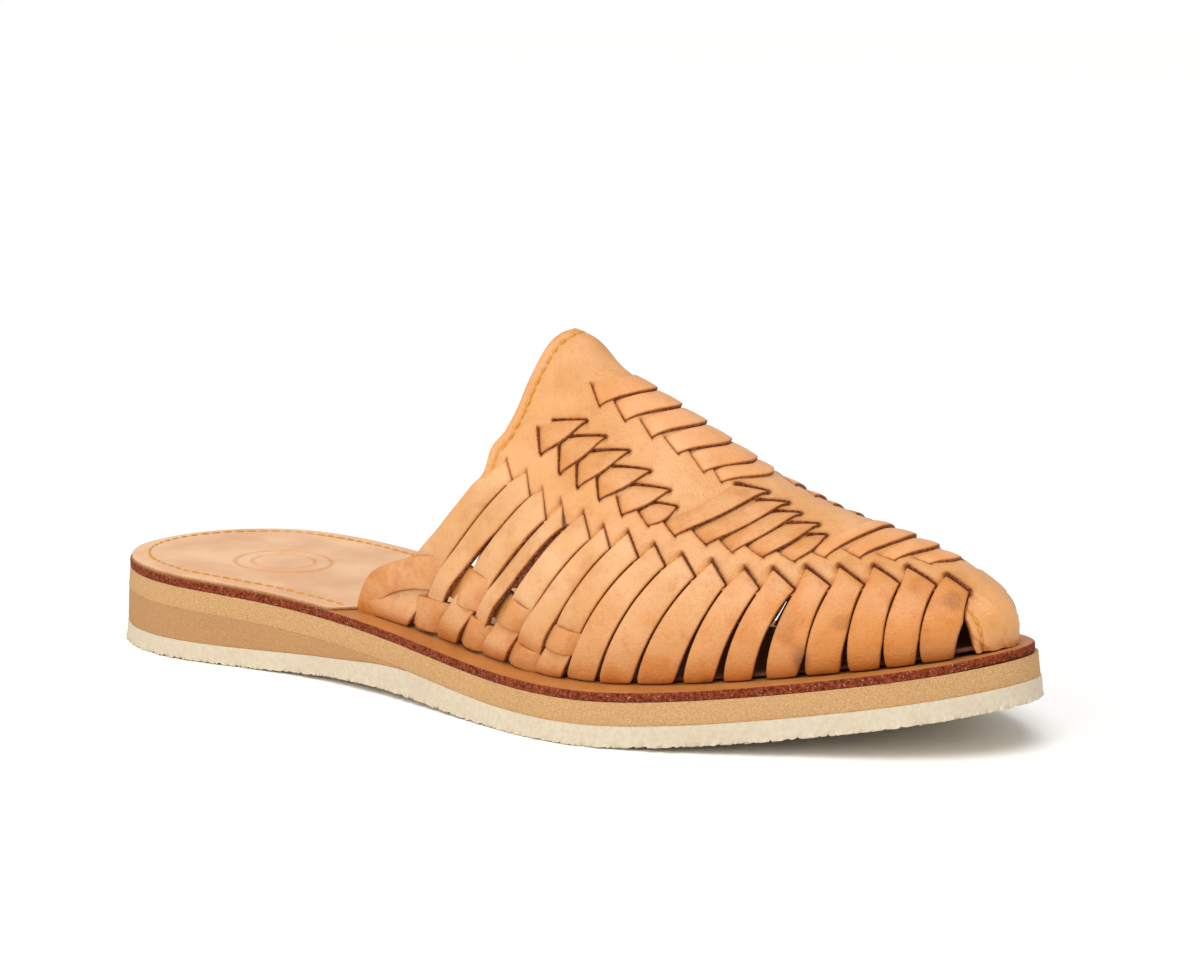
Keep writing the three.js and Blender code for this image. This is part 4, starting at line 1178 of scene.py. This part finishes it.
def edge_lace(top, low, first_over, side, seed):
    """A lace from two edges of (x, height up from the foot): over and under in turn, by the strap at each x."""
    t = np.linspace(0, 1, 150)
    top_at, low_at = np.linspace(0, 1, len(top)), np.linspace(0, 1, len(low))
    a = np.stack([natural_spline(top_at, top[:, c])(t) for c in (0, 1)], -1)
    b = np.stack([natural_spline(low_at, low[:, c])(t) for c in (0, 1)], -1)
    rows = [np.stack([edge[:, 0], side * (1 - edge[:, 1] / girth(edge[:, 0], side))], -1) for edge in (a, b)]
    middle = 0.5 * (a + b)
    climb = middle[:, 1] / girth(middle[:, 0], side)
    laced = slice(LACED + 1)
    foot = 0.5 * (strap_feet[laced, 0] + strap_feet[1 : LACED + 2, 0])
    head = 0.5 * (strap_slits[laced, 0] + strap_slits[laced, 2])
    head_climb = 1 - 0.5 * (strap_slits[laced, 1] + strap_slits[laced, 3]) / girth(head, side)
    centres = foot + (head - foot) * climb[:, None] / head_climb
    over = first_over * (-1) ** np.arange(LACED + 1)
    wave = np.array([np.interp(x, centre, over) for x, centre in zip(middle[:, 0], centres)])
    lift = -0.3 + 1.15 * np.sin(0.5 * math.pi * np.clip(1.3 * wave, -1, 1)) - 0.5 * fade(middle[:, 1], 0.9)
    # Shade painted darker where the lace passes under a strap; darker and warmer towards the rear turn.
    tone = 0.3 + 0.15 * (1 - ease(wave + 0.9)) + 0.2 * fade(middle[:, 0] - 94, 6)
    return ribbon(rows[0], rows[1], lift, 0.3, 0.1, seed=seed, tone=tone)


for name, side in (("edge_laces_outer", 1), ("edge_laces_inner", -1)):
    strip_piece(name, [edge_lace(lace_top, lace_low, 1, side, 2.2),
                       edge_lace(foot_lace_top, foot_lace_low, -1, side, 3.1)], strap_leather)

# ---- Leaves ----
# Where a strap comes out of the vamp again it shows as a leaf: it leaves a short slit at the rear, lies over the
# vamp and goes in under an oblique slit, its front edge overlapping the next. Six are short and five are long.


def leaf(row, side, seed):
    """One leaf: between its rear slit (t = 0) and its upper slit (t = 1) the edges bow out as half sines, and past
    each slit it goes on 2.4 mm under the vamp's lip."""
    p0, p1, q, tip = (np.array([on_side(row[k], side), row[k + 1]]) for k in (0, 2, 4, 6))
    long = np.linalg.norm(tip - p1) > 22
    t = np.linspace(0, 1, 46)

    def edge(start, end, bow):
        """A line from start to end that bows out by a half sine."""
        way = end - start
        out = np.array([-way[1], way[0]]) / np.linalg.norm(way)
        return start + t[:, None] * way + bow * np.sin(math.pi * t)[:, None] * out

    top_edge = edge(p0, q, 1.7 if long else 0.5)
    low_edge = edge(p1, tip, 1.9 if long else 1.5)
    rear = (p1 - p0) / np.linalg.norm(p1 - p0)
    rear = np.array([-rear[1], rear[0]])
    upper = (tip - q) / np.linalg.norm(tip - q)
    upper = np.array([upper[1], -upper[0]])
    ends = 2.4 * np.linspace(1, 0, 7)[:-1, None]
    left = np.concatenate([p0 + ends * rear, top_edge, q + ends[::-1] * upper])
    right = np.concatenate([p1 + ends * rear, low_edge, tip + ends[::-1] * upper])
    middle = 0.5 * (left + right)
    run = run_along(flat(middle))
    into, out = run - run[6], run[-7] - run
    high = (0.8 if long else 0.7) * (1 if side > 0 else 0.7)
    lift = high - (high + 0.75) * fade(into, 1.7)
    lift -= (high + 0.6) * fade(out, 1.9)
    lift = lift - 1.1 * ease(-into / 1.2) - 1.1 * ease(-out / 1.2)
    # Warmer near the rear slit, and shade painted dark where the leaf goes under either slit.
    tone = 0.24 + 0.16 * fade(into, 4)
    tone = np.maximum(tone, 0.95 * fade(np.minimum(np.abs(into), np.abs(out)), 0.4))
    return ribbon(shares(left, side), shares(right, side), lift, 0.2, 0.8, seed=seed, tone=tone)


for name, side in (("leaves_outer", 1), ("leaves_inner", -1)):
    strip_piece(name, [leaf(row, side, 0.31 * k + 9 * side) for k, row in enumerate(leaf_rows)], strap_leather)

# ---- Cross straps ----
# The same straps cross the ridge as chevrons, six at the instep and four over the toes. Each leaves a slit on one
# side, arches over the ridge with its front edge over the next one, and goes into the slit on the other side.


def cross_strap(row, seed):
    """One cross strap: over the ridge its edges follow x = ridge - (ridge - slit) h(c), where h is a hyperbola of
    the distance from the ridge, and its ends go on 2.6 mm under the vamp's lip."""
    x0, c0, x1, c1, ridge0, ridge1 = row
    t = np.linspace(-1, 1, 61)
    t = np.r_[np.linspace(-1 - 2.6 / c1, -1, 7)[:-1], t, np.linspace(1, 1 + 2.6 / c1, 7)[1:]]
    soft_tip = 0.3
    h = (np.sqrt(t * t + soft_tip**2) - soft_tip) / (math.sqrt(1 + soft_tip**2) - soft_tip)
    edges = []
    for x_end, c_end, ridge in ((x0, c0, ridge0), (x1, c1, ridge1)):
        x = ridge - (ridge - np.where(t < 0, on_side(x_end, -1), x_end)) * h
        c = t * c_end
        edges.append(np.stack([x, c / girth(x, np.sign(c) + (c == 0))], -1))
    gap = (1 - np.abs(t)) * 0.5 * (c0 + c1)
    lift = 0.55 - 1.2 * fade(gap, 1.5) - 1.0 * ease(-gap / 1.4)
    # Shade painted dark where the strap goes under its slits.
    tone = np.maximum(0.1, 0.9 * fade(np.abs(gap), 0.4))
    return ribbon(edges[0], edges[1], lift, 0.2, 0.7, seed=seed, tone=tone)


pink = vegetable_tan("vegetable_tanned_stretched", "#dc9a5f", "#eaaf7c", "#bd7434")
strip_piece("cross_straps", [cross_strap(row, 0.47 * k) for k, row in enumerate(cross_rows)], pink)
